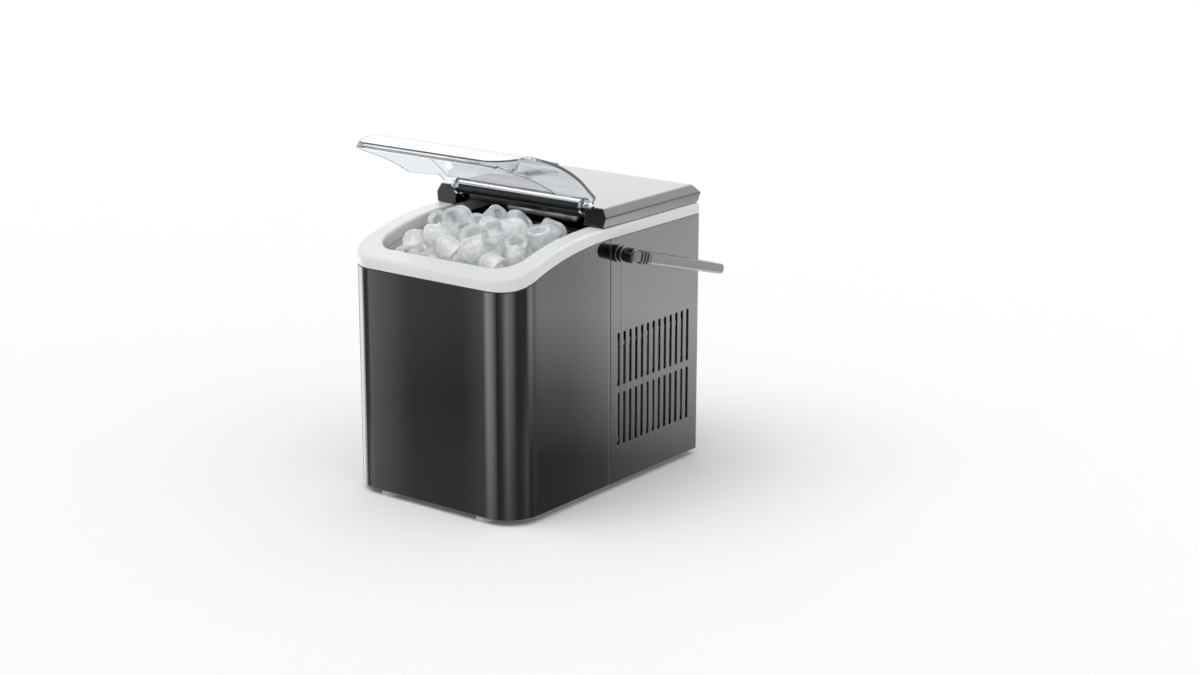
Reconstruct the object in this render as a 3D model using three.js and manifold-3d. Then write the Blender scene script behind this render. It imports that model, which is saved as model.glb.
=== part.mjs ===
// Countertop ice maker that freezes hollow bullet-shaped ice, in millimetres, +Z up.
// X runs across the machine, -Y is its front and Z = 0 is the surface that its feet stand on.
// The clear lid stands part way open and the carrying handle lies back behind the body.
import * as THREE from "three";
import { mergeVertices } from "three/addons/utils/BufferGeometryUtils.js";
import Module from "manifold-3d";

const wasm = await Module();
wasm.setup();

// ---- Driving sizes -------------------------------------------------------------------------

// Body
const bodyWidth = 222;
const bodyDepth = 312;
const bodyHeight = 265.6; // top of the rear shell, where the rim sits
const frontCorner = 37; // radius of the two front corners in plan
const rearCorner = 4;
const wall = 2.4; // moulded walls of the shells, rim, cover and bin
const fit = 0.4; // gap kept between pieces that touch
const seamY = -1.3; // where the front shell meets the rear shell
const seamGap = 0.5;

// Feet and base
const footHeight = 6;
const footRadius = 9;
const footStem = 3;
const footInsetX = 48; // foot centre in from the side
const footInsetY = 12; // foot centre in from the front or rear
const panFloor = 3;
const panLip = 11;

// Sweep of the top edge, which drops towards the front
const sweepDrop = 28;
const sweepEnds = [4, 146]; // where the sweep starts and ends, back from the front face
const sweepPull = [28, 51]; // its two control points, back from the front face
const bandHeight = 12.2; // visible height of the white rim
const bandLead = 8; // how far the rim's top edge runs ahead of its bottom edge

// Rim and ice bin
const rimFlange = 22; // from the body's side to the bin mouth
const binCorner = 25;
const binRearY = -14; // rear wall of the bin
const binFloor = 62;
const jacketDrop = 12; // insulation's top below the body's top
const chamberDepth = 81.6; // floor under the water tray, below the body's top
const chamberRearY = 96;
const sensorDrop = 37.6; // ice sensors below the body's top

// Rear cover
const coverHeight = 19.3;
const coverCrease = 10.3; // height of the crease above the cover's seat
const coverSideChamfer = 4.5; // top edge in from the side
const coverRearChamfer = 10; // top edge in from the rear
const coverFrontY = -12;
const blockWidth = 26.7; // each end block beside the lid's hinge
const sillY = -4; // front of the sill under the hinge
const sillBottom = 4.4; // sill underside above the cover's seat
const sillTop = 9.8;
const coverFaceY = 6.6; // front wall of the cover between the end blocks

// Lid and hinge
const hingeY = -8;
const hingeDrop = 0.5; // hinge axis below the cover's top
const beamRadius = 5.2;
const barrelRadius = 8; // outside of the lid where it wraps the beam
const pinRadius = 2;
const pinReach = 8; // how far a pin enters the cover or the beam
const earWidth = 3.4;
const lidInset = 13; // lid side in from the body's side
const lidSkin = 2.4;
const lidCorner = 26;
const lidOverhang = 10.5; // lip beyond the front face
const lidSeat = 0.8; // gap over the rim when shut
const lidOpenAngle = 41; // how far it stands open

// Carrying handle
const pivotY = 12;
const pivotDrop = 16.6; // pivot below the body's top
const pivotRadius = 4;
const pivotFlange = 9;
const gripClearance = 8.25; // grip centre behind the rear face when stowed
const handleDroop = 15.5; // degrees below level when stowed
const armWidth = 9;
const armHeight = 12.5;
const armEndHeight = 11;
const armOffset = 17.5; // arm centre out from the body's side
const knuckleLength = 26;
const gripRadius = 6;

// Air vents
const ventCount = 13;
const ventWidth = 4;
const ventFrontGap = 14; // seam to the middle of the first side slot
const ventRearGap = 21.6; // middle of the last side slot to the rear face
const ventBottom = 45;
const ventBridge = 6.5; // between the lower and the upper row
const ventDrop = 99.6; // upper ends of the upper row below the body's top
const rearVentCount = 9;

// Ice basket
const basketGapX = 5.5; // basket side to bin side
const basketGapY = 3; // basket end to bin end
const basketDrop = 153.6; // basket's underside below the body's top
const basketHeight = 95;
const basketCorner = 20;
const basketWall = 2;
const basketSlots = 6;
const basketSlotWidth = 9;
const basketTabWidth = 58;
const basketTabHeight = 15;

// Evaporator, water tray and ice shovel
const fingerRadius = 5.5;
const fingerGap = 4.8; // finger tips above the tray's floor
const fingerInset = 18; // outermost finger in from the tray's side, over both sides of the row
const manifoldHeight = 9;
const manifoldFrontY = 24;
const manifoldRearY = 72;
const trayInset = 27; // tray side to bin side
const trayFrontY = 14;
const trayRearY = 78;
const trayLift = 32; // tray's underside above the chamber floor
const trayHeight = 20;
const trayWall = 2;
const trayAxisLift = 14; // shaft above the tray's underside
const trayShaftRadius = 2.5;
const shovelY = 8;
const shovelInset = 1.6; // shovel's axis below the body's top
const shovelDrop = 46;
const shovelTeeth = 9;

// Refrigeration and water
const compressorRadius = 46;
const compressorHeadroom = 31.8; // can to the chamber's underside
const dischargeDrop = 27.8; // discharge pipe below the can's top
const compressorGap = 12.6; // can to the rear shell at its side and rear
const mountHeight = 8;
const condenserDepth = 18;
const condenserLength = 120;
const condenserBottom = 30;
const condenserHeadroom = 26.6; // condenser to the chamber's underside
const condenserFins = 9;
const fanY = 75;
const fanShare = 0.36; // fan radius as a share of the condenser's height
const fanRise = 2.5; // fan's axis above the condenser's middle
const fanHub = 12;
const fanBlades = 7;
const fanMotorRadius = 17;
const pipeRadius = 3;
const capillaryRadius = 1.6;
const hoseRadius = 4;
const drierRadius = 8;
const drierRise = 30; // drier's foot above the condenser's
const drierDrop = 33; // drier's top below the condenser's
const outletRise = 12; // condenser's outlet above its foot
const lineDrop = 48; // where the two thin lines bend in, below the body's top

// Controls
const panelInsetX = 26.5; // panel's middle in from the body's side
const panelInsetY = 30; // and from its rear face
const panelWidth = 24;
const panelLength = 48;
const panelThickness = 1.4;
const buttonRadius = 5.5;
const buttonStem = 3;
const buttonTravel = 1.2;
const lensRadius = 1.6;

// Power inlet and drain
const inletX = 70;
const inletZ = 70;
const inletWidth = 28;
const inletHeight = 20;
const inletDepth = 18;
const drainY = -70;
const drainRise = 17; // drain's axis above the pan's floor
const drainRadius = 8;
const screwInsetX = 13;
const screwRise = 22; // screws above the body's foot

// ---- Values that follow from them ----------------------------------------------------------

const halfWidth = bodyWidth / 2;
const frontY = -bodyDepth / 2;
const rearY = bodyDepth / 2;
const rimTop = bodyHeight + bandHeight;
const coverSeat = rimTop + fit;
const coverTop = coverSeat + coverHeight;
const mouthHalf = halfWidth - rimFlange;
const mouthFrontY = frontY + rimFlange;
const bodyInside = halfWidth - wall;
const hingeHalf = halfWidth - blockWidth; // inner faces of the end blocks
const panTop = footHeight + panFloor;
const trayHalf = mouthHalf - trayInset;
const drainZ = panTop + drainRise;
const hingeZ = coverTop - hingeDrop;
const pivotZ = bodyHeight - pivotDrop;
const chamberFloor = bodyHeight - chamberDepth;
const basketBottom = bodyHeight - basketDrop;
const trayBottom = chamberFloor + trayLift;
const trayTop = trayBottom + trayHeight;
const trayAxisZ = trayBottom + trayAxisLift;
const shovelZ = bodyHeight - shovelInset;
const ventStartY = seamY + ventFrontGap;
const ventPitch = (rearY - ventRearGap - ventStartY) / (ventCount - 1);
const ventTop = bodyHeight - ventDrop;
const ventMiddle = (ventBottom + ventTop) / 2;
const ventRows = [
  [ventBottom, ventMiddle - ventBridge / 2],
  [ventMiddle + ventBridge / 2, ventTop],
];
const panelX = -halfWidth + panelInsetX;
const panelY = rearY - panelInsetY;
const chamberUnder = chamberFloor - wall;
const compressorX = -bodyInside + compressorGap + compressorRadius;
const compressorY = rearY - wall - compressorGap - compressorRadius;
const fingerPitch = (trayHalf - fingerInset) / 2;
const condenserTop = chamberUnder - condenserHeadroom;
const condenserHeight = condenserTop - condenserBottom;
const fanRadius = fanShare * condenserHeight;
const fanZ = condenserBottom + condenserHeight / 2 + fanRise;
const handleFold = THREE.MathUtils.degToRad(handleDroop);
const handleReach = (rearY + gripClearance - pivotY) / Math.cos(handleFold);
const armCentre = halfWidth + armOffset;

// ---- Shapes --------------------------------------------------------------------------------

const AXIS_X = new THREE.Vector3(1, 0, 0);
const AXIS_Y = new THREE.Vector3(0, 1, 0);
const AXIS_Z = new THREE.Vector3(0, 0, 1);
const point = (x, y) => new THREE.Vector2(x, y);

// A closed three.js geometry as a manifold solid.
function solid(geometry) {
  const bare = geometry.index ? geometry.toNonIndexed() : geometry.clone();
  bare.deleteAttribute("normal");
  bare.deleteAttribute("uv");
  const merged = mergeVertices(bare, 1e-4);
  const kept = [];
  const index = merged.index.array;
  for (let i = 0; i < index.length; i += 3) {
    const [a, b, c] = [index[i], index[i + 1], index[i + 2]];
    if (a !== b && b !== c && c !== a) kept.push(a, b, c);
  }
  const vertProperties = merged.attributes.position.array;
  return new wasm.Manifold(
    new wasm.Mesh({ numProp: 3, vertProperties, triVerts: new Uint32Array(kept) }),
  );
}

const join = (solids) => solids.reduce((sum, next) => sum.add(next));
const cut = (base, solids) => solids.reduce((rest, next) => rest.subtract(next), base);

// A box between two corners.
function block(low, high) {
  const size = high.map((value, i) => value - low[i]);
  const centre = high.map((value, i) => (value + low[i]) / 2);
  return solid(new THREE.BoxGeometry(...size).translate(...centre));
}

// A flat outline raised from z = low to z = high.
function prism(outline, low, high, segments = 3) {
  const settings = { depth: high - low, bevelEnabled: false, curveSegments: segments };
  return solid(new THREE.ExtrudeGeometry(outline, settings).translate(0, 0, low));
}

// A side profile of (y, z) points carried across the machine from x = low to x = high.
function acrossX(points, low, high) {
  const settings = { depth: high - low, bevelEnabled: false };
  const turned = new THREE.Matrix4().makeBasis(AXIS_Y, AXIS_Z, AXIS_X);
  const geometry = new THREE.ExtrudeGeometry(new THREE.Shape(points), settings);
  return solid(geometry.applyMatrix4(turned).translate(low, 0, 0));
}

// A front profile of (x, z) points carried back from y = low to y = high.
function alongY(shape, low, high, segments = 3) {
  const settings = { depth: high - low, bevelEnabled: false, curveSegments: segments };
  const turned = new THREE.Matrix4().makeBasis(AXIS_X, AXIS_Z, AXIS_Y.clone().negate());
  const geometry = new THREE.ExtrudeGeometry(shape, settings).applyMatrix4(turned);
  return solid(geometry.translate(0, high, 0));
}

// A profile of (radius, height) points turned about an upright axis at x, y.
function turned(profile, x, y, segments = 16) {
  const points = profile.map(([r, z]) => point(r, z));
  const geometry = new THREE.LatheGeometry(points, segments).rotateX(Math.PI / 2);
  return solid(geometry.translate(x, y, 0));
}

// A profile of (radius, distance) points turned about an axis along +X (or -X) at y, z.
function turnedX(profile, y, z, side = 1, segments = 16) {
  const points = profile.map(([r, x]) => point(r, x));
  const geometry = new THREE.LatheGeometry(points, segments).rotateZ((-side * Math.PI) / 2);
  return solid(geometry.translate(0, y, z));
}

// The profile of a plain round bar for turned and turnedX.
const rod = (radius, low, high) => [
  [0, low],
  [radius, low],
  [radius, high],
  [0, high],
];

// A round section carried along a smooth path.
function tube(points, radius, steps = 20, sides = 8) {
  const section = new THREE.Shape().absarc(0, 0, radius, 0, Math.PI * 2);
  const extrudePath = new THREE.CatmullRomCurve3(points.map((p) => new THREE.Vector3(...p)));
  const settings = { steps, extrudePath, curveSegments: sides / 2, bevelEnabled: false };
  return solid(new THREE.ExtrudeGeometry(section, settings));
}

// A rectangle in plan whose front (-Y) and rear corners have their own radii.
function plan(left, front, right, rear, frontRadius, rearRadius = frontRadius) {
  const [f, r] = [frontRadius, rearRadius];
  const shape = new THREE.Shape();
  shape.moveTo(left + f, front);
  shape.absarc(right - f, front + f, f, -Math.PI / 2, 0);
  shape.absarc(right - r, rear - r, r, 0, Math.PI / 2);
  shape.absarc(left + r, rear - r, r, Math.PI / 2, Math.PI);
  shape.absarc(left + f, front + f, f, Math.PI, Math.PI * 1.5);
  return shape;
}

// The body's outline in plan, moved inwards.
const bodyPlan = (inset) =>
  plan(
    -halfWidth + inset,
    frontY + inset,
    halfWidth - inset,
    rearY - inset,
    frontCorner - inset,
    Math.max(rearCorner - inset, 1),
  );

// The bin mouth's outline in plan, moved outwards, back to y = rear.
const mouthPlan = (grow, rear) =>
  plan(
    -mouthHalf - grow,
    mouthFrontY - grow,
    mouthHalf + grow,
    rear + grow,
    binCorner + grow,
    5 + grow,
  );

// The swept line of the top edge as (y, z) points from front to rear.
function sweepLine(height, lead = 0) {
  const low = height - sweepDrop;
  const [start, end] = sweepEnds.map((d) => frontY + d - lead);
  const [pullFront, pullRear] = sweepPull.map((d) => frontY + d - lead);
  const curve = new THREE.CubicBezierCurve(
    point(start, low),
    point(pullFront, low),
    point(pullRear, height - 3.5),
    point(end, height),
  );
  return curve.getPoints(10);
}

// Everything under the swept line.
function underSweep(height, lead = 0) {
  const line = sweepLine(height, lead);
  const [before, behind] = [frontY - 60, rearY + 60];
  const points = [
    point(before, -1),
    point(behind, -1),
    point(behind, height),
    ...line.reverse(),
    point(before, height - sweepDrop),
  ];
  return acrossX(points, -halfWidth - 5, halfWidth + 5);
}

// A slot with round ends in (across, up), centred on u.
function slotShape(u, low, high, width) {
  const r = width / 2;
  const shape = new THREE.Shape();
  shape.moveTo(u + r, low + r);
  shape.absarc(u, high - r, r, 0, Math.PI);
  shape.absarc(u, low + r, r, Math.PI, Math.PI * 2);
  return shape;
}

// ---- Finishes ------------------------------------------------------------------------------

const finishes = {
  glossBlack: { color: 0x1b1b1c, roughness: 0.16, metalness: 0 },
  satinBlack: { color: 0x232324, roughness: 0.42, metalness: 0 },
  rimWhite: { color: 0xe9e9e8, roughness: 0.34, metalness: 0 },
  binGrey: { color: 0xc9cbcc, roughness: 0.45, metalness: 0 },
  clear: { color: 0xdfe6ea, roughness: 0.06, metalness: 0, transparent: true, opacity: 0.35 },
  armGrey: { color: 0x8f9193, roughness: 0.38, metalness: 0.1 },
  foam: { color: 0xf2f1ec, roughness: 0.9, metalness: 0 },
  rubber: { color: 0x2a2a2a, roughness: 0.8, metalness: 0 },
  footRubber: { color: 0xb9bcbe, roughness: 0.6, metalness: 0 },
  copper: { color: 0xb87546, roughness: 0.32, metalness: 1 },
  steel: { color: 0xb9bcc0, roughness: 0.35, metalness: 1 },
  nickel: { color: 0xc8c9c6, roughness: 0.22, metalness: 1 },
  fins: { color: 0xa9adb0, roughness: 0.4, metalness: 0.9 },
  board: { color: 0x1f5a35, roughness: 0.5, metalness: 0 },
  lens: { color: 0xd9e6ee, roughness: 0.2, metalness: 0 },
};

const machine = new THREE.Group();
machine.name = "ice_maker";

// Adds a named piece with a material of its own.
function piece(name, shape, finish, parent = machine) {
  const { vertProperties, triVerts } = shape.getMesh();
  const geometry = new THREE.BufferGeometry();
  geometry.setAttribute("position", new THREE.BufferAttribute(vertProperties, 3));
  geometry.setIndex(new THREE.BufferAttribute(triVerts, 1));
  geometry.computeVertexNormals();
  const made = new THREE.Mesh(geometry, new THREE.MeshStandardMaterial(finishes[finish]));
  made.name = name;
  parent.add(made);
}

// ---- Base and feet -------------------------------------------------------------------------

const footPlaces = {
  foot_front_left: [-halfWidth + footInsetX, frontY + footInsetY],
  foot_front_right: [halfWidth - footInsetX, frontY + footInsetY],
  foot_rear_left: [-halfWidth + footInsetX, rearY - footInsetY],
  foot_rear_right: [halfWidth - footInsetX, rearY - footInsetY],
};

function addBase() {
  const outside = prism(bodyPlan(wall + fit), footHeight, footHeight + panLip, 4);
  const inside = prism(bodyPlan(2 * wall + fit), panTop, footHeight + panLip + 1, 4);
  const stemHole = footStem + fit;
  const holes = Object.values(footPlaces).map(([x, y]) =>
    turned(rod(stemHole, footHeight - 1, panTop + 1), x, y, 12),
  );
  piece("base_pan", cut(outside, [inside, ...holes]), "satinBlack");
  const profile = [
    [0, 0],
    [footRadius - 1, 0],
    [footRadius, 1],
    [footRadius, footHeight - fit],
    [footStem, footHeight - fit],
    [footStem, panTop],
    [0, panTop],
  ];
  for (const [name, [x, y]] of Object.entries(footPlaces)) {
    piece(name, turned(profile, x, y), "footRubber");
  }
}

// ---- Shells and rim ------------------------------------------------------------------------

function bodyWalls() {
  const ring = prism(bodyPlan(0), footHeight, bodyHeight, 4).subtract(
    prism(bodyPlan(wall), footHeight - 1, bodyHeight + 1, 4),
  );
  return ring.intersect(underSweep(bodyHeight));
}

function addFrontShell(walls) {
  const keep = block(
    [-halfWidth - 1, frontY - 1, 0],
    [halfWidth + 1, seamY - seamGap / 2, bodyHeight + 1],
  );
  const hole = turnedX(rod(drainRadius + fit, bodyInside - 2, halfWidth + 1), drainY, drainZ, -1);
  piece("front_shell", walls.intersect(keep).subtract(hole), "glossBlack");
}

// The rear shell's top edge is trapped under the rim, and two screws hold its foot.
const screwPlaces = {
  rear_screw_left: [-halfWidth + screwInsetX, footHeight + screwRise],
  rear_screw_right: [halfWidth - screwInsetX, footHeight + screwRise],
};
const screwShank = 1.7;

function addRearShell(walls) {
  const keep = block(
    [-halfWidth - 1, seamY + seamGap / 2, 0],
    [halfWidth + 1, rearY + 1, bodyHeight + 1],
  );
  const cuts = [];
  for (const [low, high] of ventRows) {
    for (let i = 0; i < ventCount; i += 1) {
      const slot = slotShape(ventStartY + i * ventPitch, low, high, ventWidth);
      cuts.push(acrossX(slot.getPoints(1), -halfWidth - 1, halfWidth + 1));
    }
  }
  const [rearLow, rearHigh] = ventRows[1];
  for (let i = 0; i < rearVentCount; i += 1) {
    const x = (i - (rearVentCount - 1) / 2) * ventPitch;
    cuts.push(alongY(slotShape(x, rearLow, rearHigh, ventWidth), rearY - wall - 1, rearY + 1, 1));
  }
  for (const side of [-1, 1]) {
    const hole = rod(pivotRadius + fit, bodyInside - 1, halfWidth + 1);
    cuts.push(turnedX(hole, pivotY, pivotZ, side));
  }
  for (const [x, z] of Object.values(screwPlaces)) {
    const hole = new THREE.Shape().absarc(x, z, screwShank + fit, 0, Math.PI * 2);
    cuts.push(alongY(hole, rearY - wall - 1, rearY + 1));
  }
  const [inletHalf, inletRise] = [inletWidth / 2 + fit, inletHeight / 2 + fit];
  cuts.push(
    block(
      [inletX - inletHalf, rearY - wall - 1, inletZ - inletRise],
      [inletX + inletHalf, rearY + 1, inletZ + inletRise],
    ),
  );
  piece("rear_shell", cut(walls.intersect(keep), cuts), "glossBlack");
  for (const [name, [x, z]] of Object.entries(screwPlaces)) {
    const head = new THREE.CylinderGeometry(2.6, 3.5, 2, 16).translate(0, fit + 1, 0);
    const shank = new THREE.CylinderGeometry(screwShank, screwShank, 9, 10).translate(0, -3.5, 0);
    piece(name, solid(head).add(solid(shank)).translate([x, rearY, z]), "steel");
  }
}

// Openings in the rim's rear flange that the refrigerant lines pass through.
const lineHole = { left: -28, right: 26, front: chamberRearY + 14, rear: chamberRearY + 38 };

function addRim() {
  const band = prism(bodyPlan(0), footHeight, rimTop, 4)
    .subtract(prism(mouthPlan(0, chamberRearY), 0, rimTop + 1))
    .intersect(underSweep(rimTop, bandLead))
    .subtract(underSweep(bodyHeight + fit));
  const hollow = prism(bodyPlan(wall), footHeight, rimTop, 4)
    .subtract(prism(mouthPlan(wall, chamberRearY), 0, rimTop + 1))
    .intersect(underSweep(rimTop - wall, bandLead));
  const passage = block(
    [lineHole.left, lineHole.front, bodyHeight - 5],
    [lineHole.right, lineHole.rear, rimTop + 1],
  );
  piece("rim", cut(band, [hollow, passage]), "rimWhite");
}

// ---- Ice bin -------------------------------------------------------------------------------

const pumpX = 45;
const pumpY = -70;
const drainX = -60;
const hoseX = trayHalf + 10; // where the fill hose rises behind the bin
const hoseY = 4;

function addBin() {
  const floor = binFloor - wall;
  const tub = prism(mouthPlan(wall, binRearY), floor, bodyHeight);
  const chamber = prism(
    plan(-mouthHalf - wall, binRearY - 12, mouthHalf + wall, chamberRearY + wall, 1, 5 + wall),
    chamberFloor - wall,
    bodyHeight,
  );
  const inside = [
    prism(mouthPlan(0, binRearY), binFloor, bodyHeight + 1),
    prism(
      plan(-mouthHalf, binRearY - 12, mouthHalf, chamberRearY, 1, 5),
      chamberFloor,
      bodyHeight + 1,
    ),
    turned(rod(hoseRadius + 1, floor - 1, binFloor + 1), pumpX, pumpY, 12),
    turned(rod(hoseRadius + 1, floor - 1, binFloor + 1), drainX, drainY, 12),
    turned(rod(hoseRadius + 1, chamberFloor - wall - 1, chamberFloor + 1), hoseX, hoseY, 12),
  ];
  const liner = cut(tub.add(chamber), inside).intersect(underSweep(bodyHeight - fit));
  piece("bin_liner", liner, "binGrey");

  const foam = prism(bodyPlan(wall + fit), binFloor, bodyHeight - jacketDrop, 4)
    .subtract(prism(mouthPlan(wall + fit, chamberRearY), 0, bodyHeight))
    .intersect(underSweep(bodyHeight - jacketDrop))
    .intersect(block([-halfWidth, frontY, 0], [halfWidth, binRearY, bodyHeight]));
  piece("insulation_jacket", foam, "foam");

  for (const [name, side] of [
    ["ice_sensor_left", -1],
    ["ice_sensor_right", 1],
  ]) {
    const [near, far] = [mouthHalf - fit - 2.4, mouthHalf - fit].map((x) => side * x);
    const sensorZ = bodyHeight - sensorDrop;
    const low = [Math.min(near, far), binRearY - 18, sensorZ - 6];
    const high = [Math.max(near, far), binRearY - 4, sensorZ + 6];
    piece(name, block(low, high), "satinBlack");
  }
}

// ---- Ice basket ----------------------------------------------------------------------------

const basketHalf = mouthHalf - basketGapX;
const basketFront = mouthFrontY + basketGapY;
const basketRear = binRearY - basketGapY - 2;
const basketTop = basketBottom + basketHeight;

function addBasket() {
  const basket = new THREE.Group();
  const outline = (inset) =>
    plan(
      -basketHalf + inset,
      basketFront + inset,
      basketHalf - inset,
      basketRear - inset,
      basketCorner - inset,
    );
  const shell = prism(outline(0), basketBottom, basketTop).subtract(
    prism(outline(basketWall), basketBottom + basketWall, basketTop + 1),
  );
  const middleY = (basketFront + basketRear) / 2;
  const tabFront = middleY - basketTabWidth / 2;
  const tabRear = middleY + basketTabWidth / 2;
  const tabs = [-1, 1].map((side) => {
    const faces = [basketHalf - basketWall, basketHalf].map((x) => side * x).sort((a, b) => a - b);
    const tab = new THREE.Shape([
      point(tabFront - 8, basketTop - 10),
      point(tabRear + 8, basketTop - 10),
      point(tabRear, basketTop + basketTabHeight),
      point(tabFront, basketTop + basketTabHeight),
    ]);
    const [holeLow, holeHigh] = [basketTop + 2, basketTop + basketTabHeight - 4];
    const hole = new THREE.Path([
      point(tabFront + 9, holeLow),
      point(tabFront + 9, holeHigh),
      point(tabRear - 9, holeHigh),
      point(tabRear - 9, holeLow),
    ]);
    tab.holes.push(hole);
    const settings = { depth: faces[1] - faces[0], bevelEnabled: false };
    const basis = new THREE.Matrix4().makeBasis(AXIS_Y, AXIS_Z, AXIS_X);
    const geometry = new THREE.ExtrudeGeometry(tab, settings).applyMatrix4(basis);
    return solid(geometry.translate(faces[0], 0, 0));
  });
  const slots = [];
  const slotPitch = (2 * (basketHalf - basketCorner)) / basketSlots;
  for (let i = 0; i < basketSlots; i += 1) {
    const x = (i - (basketSlots - 1) / 2) * slotPitch;
    const shape = slotShape(x, basketBottom + 12, basketTop - 14, basketSlotWidth);
    slots.push(alongY(shape, basketFront - 1, basketRear + 1, 2));
    const low = [x - basketSlotWidth / 2, basketFront + 22, basketBottom - 1];
    const high = [x + basketSlotWidth / 2, basketRear - 22, basketBottom + basketWall + 1];
    slots.push(block(low, high));
  }
  piece("basket", cut(join([shell, ...tabs]), slots), "rimWhite", basket);
  machine.add(basket);
}

// ---- Rear cover, hinge and controls --------------------------------------------------------

const boardZ = coverTop - 8.5;
const panelTop = coverTop + 0.5;
const panelSeat = panelTop - panelThickness - 0.3;
const buttonPlaces = { power_button: panelY - 14, select_button: panelY + 1 };
const lensPlaces = [0, 1, 2].map((i) => [panelX - 6 + i * 6, panelY + 15]);

// The cover's outline across the machine, moved inwards.
function coverSection(inset, low) {
  const crease = coverSeat + coverCrease;
  return new THREE.Shape([
    point(-halfWidth + 2 + inset, low),
    point(halfWidth - 2 - inset, low),
    point(halfWidth + 0.5 - inset, crease),
    point(halfWidth - coverSideChamfer - inset, coverTop - inset),
    point(-halfWidth + coverSideChamfer + inset, coverTop - inset),
    point(-halfWidth - 0.5 + inset, crease),
  ]);
}

// The cover's outline from the side, moved inwards.
function coverSide(inset, front, low) {
  const crease = coverSeat + coverCrease;
  return [
    point(front, low),
    point(rearY - 2 - inset, low),
    point(rearY - inset, crease),
    point(rearY - coverRearChamfer - inset, coverTop - inset),
    point(front, coverTop - inset),
  ];
}

function addCover() {
  const wide = halfWidth + 5;
  const outside = alongY(coverSection(0, coverSeat), coverFrontY, rearY + 5).intersect(
    acrossX(coverSide(0, coverFrontY - 1, coverSeat), -wide, wide),
  );
  const low = coverSeat - 1;
  const insideFront = coverFaceY + wall;
  const inside = alongY(coverSection(wall, low), insideFront, rearY + 5).intersect(
    acrossX(coverSide(wall, insideFront, low), -wide, wide),
  );
  const frontCut = coverFrontY - 1;
  const [sillLow, sillHigh] = [coverSeat + sillBottom, coverSeat + sillTop];
  const recess = [
    block([-hingeHalf, frontCut, sillHigh], [hingeHalf, coverFaceY, coverTop + 1]),
    block([-hingeHalf, frontCut, low], [hingeHalf, sillY, coverTop + 1]),
    block([-hingeHalf, sillY - 1, low], [hingeHalf, insideFront + 1, sillLow]),
  ];
  const bores = [-1, 1].map((side) =>
    turnedX(
      rod(pinRadius + fit, hingeHalf - 1, hingeHalf + pinReach + fit),
      hingeY,
      hingeZ - fit,
      side,
      12,
    ),
  );
  const [halfPanel, halfLength] = [panelWidth / 2 + fit, panelLength / 2 + fit];
  const pocket = block(
    [panelX - halfPanel, panelY - halfLength, panelSeat],
    [panelX + halfPanel, panelY + halfLength, coverTop + 1],
  );
  const stems = Object.values(buttonPlaces).map((y) =>
    turned(rod(buttonStem + fit, coverTop - 5, coverTop + 1), panelX, y, 12),
  );
  const cover = cut(outside, [inside, ...recess, ...bores, pocket, ...stems]);
  piece("top_cover", cover, "glossBlack");
}

function addControls() {
  const [halfPanel, halfLength] = [panelWidth / 2, panelLength / 2];
  const panel = block(
    [panelX - halfPanel, panelY - halfLength, panelSeat + 0.3],
    [panelX + halfPanel, panelY + halfLength, panelTop],
  );
  const holes = Object.values(buttonPlaces).map((y) =>
    turned(rod(buttonRadius + fit, panelSeat, panelTop + 1), panelX, y),
  );
  const lensHoles = lensPlaces.map(([x, y]) =>
    turned(rod(lensRadius + 0.3, panelSeat, panelTop + 1), x, y, 12),
  );
  piece("control_panel", cut(panel, [...holes, ...lensHoles]), "glossBlack");

  const capLow = panelSeat + buttonTravel + 0.3;
  const profile = [
    [0, boardZ + buttonTravel + 2],
    [buttonStem, boardZ + buttonTravel + 2],
    [buttonStem, capLow],
    [buttonRadius, capLow],
    [buttonRadius, panelTop + buttonTravel + 0.3],
    [0, panelTop + buttonTravel + 0.6],
  ];
  for (const [name, y] of Object.entries(buttonPlaces)) {
    piece(name, turned(profile, panelX, y), "satinBlack");
  }
  lensPlaces.forEach(([x, y], i) => {
    const lens = turned(rod(lensRadius, panelSeat + 0.3, panelTop + 0.2), x, y, 12);
    piece(`indicator_lens_${i + 1}`, lens, "lens");
  });
  const board = block(
    [panelX - halfPanel, panelY - halfLength - 4, boardZ],
    [panelX + halfPanel, panelY + halfLength - 8, boardZ + 1.6],
  );
  piece("control_board", board, "board");
}

function addHinge() {
  const beamHalf = hingeHalf - earWidth - 2 * fit - 0.6;
  const bores = [-1, 1].map((side) =>
    turnedX(rod(pinRadius + fit, beamHalf - pinReach - fit, beamHalf + 1), hingeY, hingeZ, side, 12),
  );
  const beam = turnedX(rod(beamRadius, -beamHalf, beamHalf), hingeY, hingeZ, 1, 24);
  piece("hinge_beam", cut(beam, bores), "satinBlack");
  for (const [name, side] of [
    ["hinge_pin_left", -1],
    ["hinge_pin_right", 1],
  ]) {
    const profile = rod(pinRadius, beamHalf - pinReach, hingeHalf + pinReach - fit);
    piece(name, turnedX(profile, hingeY, hingeZ, side, 12), "steel");
  }
}

// ---- Lid -----------------------------------------------------------------------------------

// The lid's side profile when shut, as (y, z) points about its hinge, lowered by drop.
function lidProfile(drop) {
  const arc = new THREE.EllipseCurve(0, 0, barrelRadius, barrelRadius, 0, Math.PI / 2);
  const top = new THREE.CubicBezierCurve(
    point(-30, 8.6),
    point(-66, 8.4),
    point(-96, -4),
    point(-126, -18.5),
  );
  const tipY = frontY - lidOverhang - hingeY;
  const tipZ = bodyHeight + bandHeight - sweepDrop - hingeZ;
  const seat = sweepLine(rimTop + lidSeat, bandLead)
    .map((p) => point(p.x - hingeY, p.y - hingeZ))
    .filter((p) => p.x < -54);
  const points = [
    ...arc.getPoints(6),
    ...top.getPoints(8),
    point(tipY + 1, tipZ + 1.5),
    point(tipY, tipZ - 5.5),
    point(tipY + 7.5, tipZ - 2),
    point(tipY + 9, tipZ + lidSeat),
    ...seat,
    point(-20, -0.2),
  ];
  return points.map((p) => point(p.x, p.y - drop));
}

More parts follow.
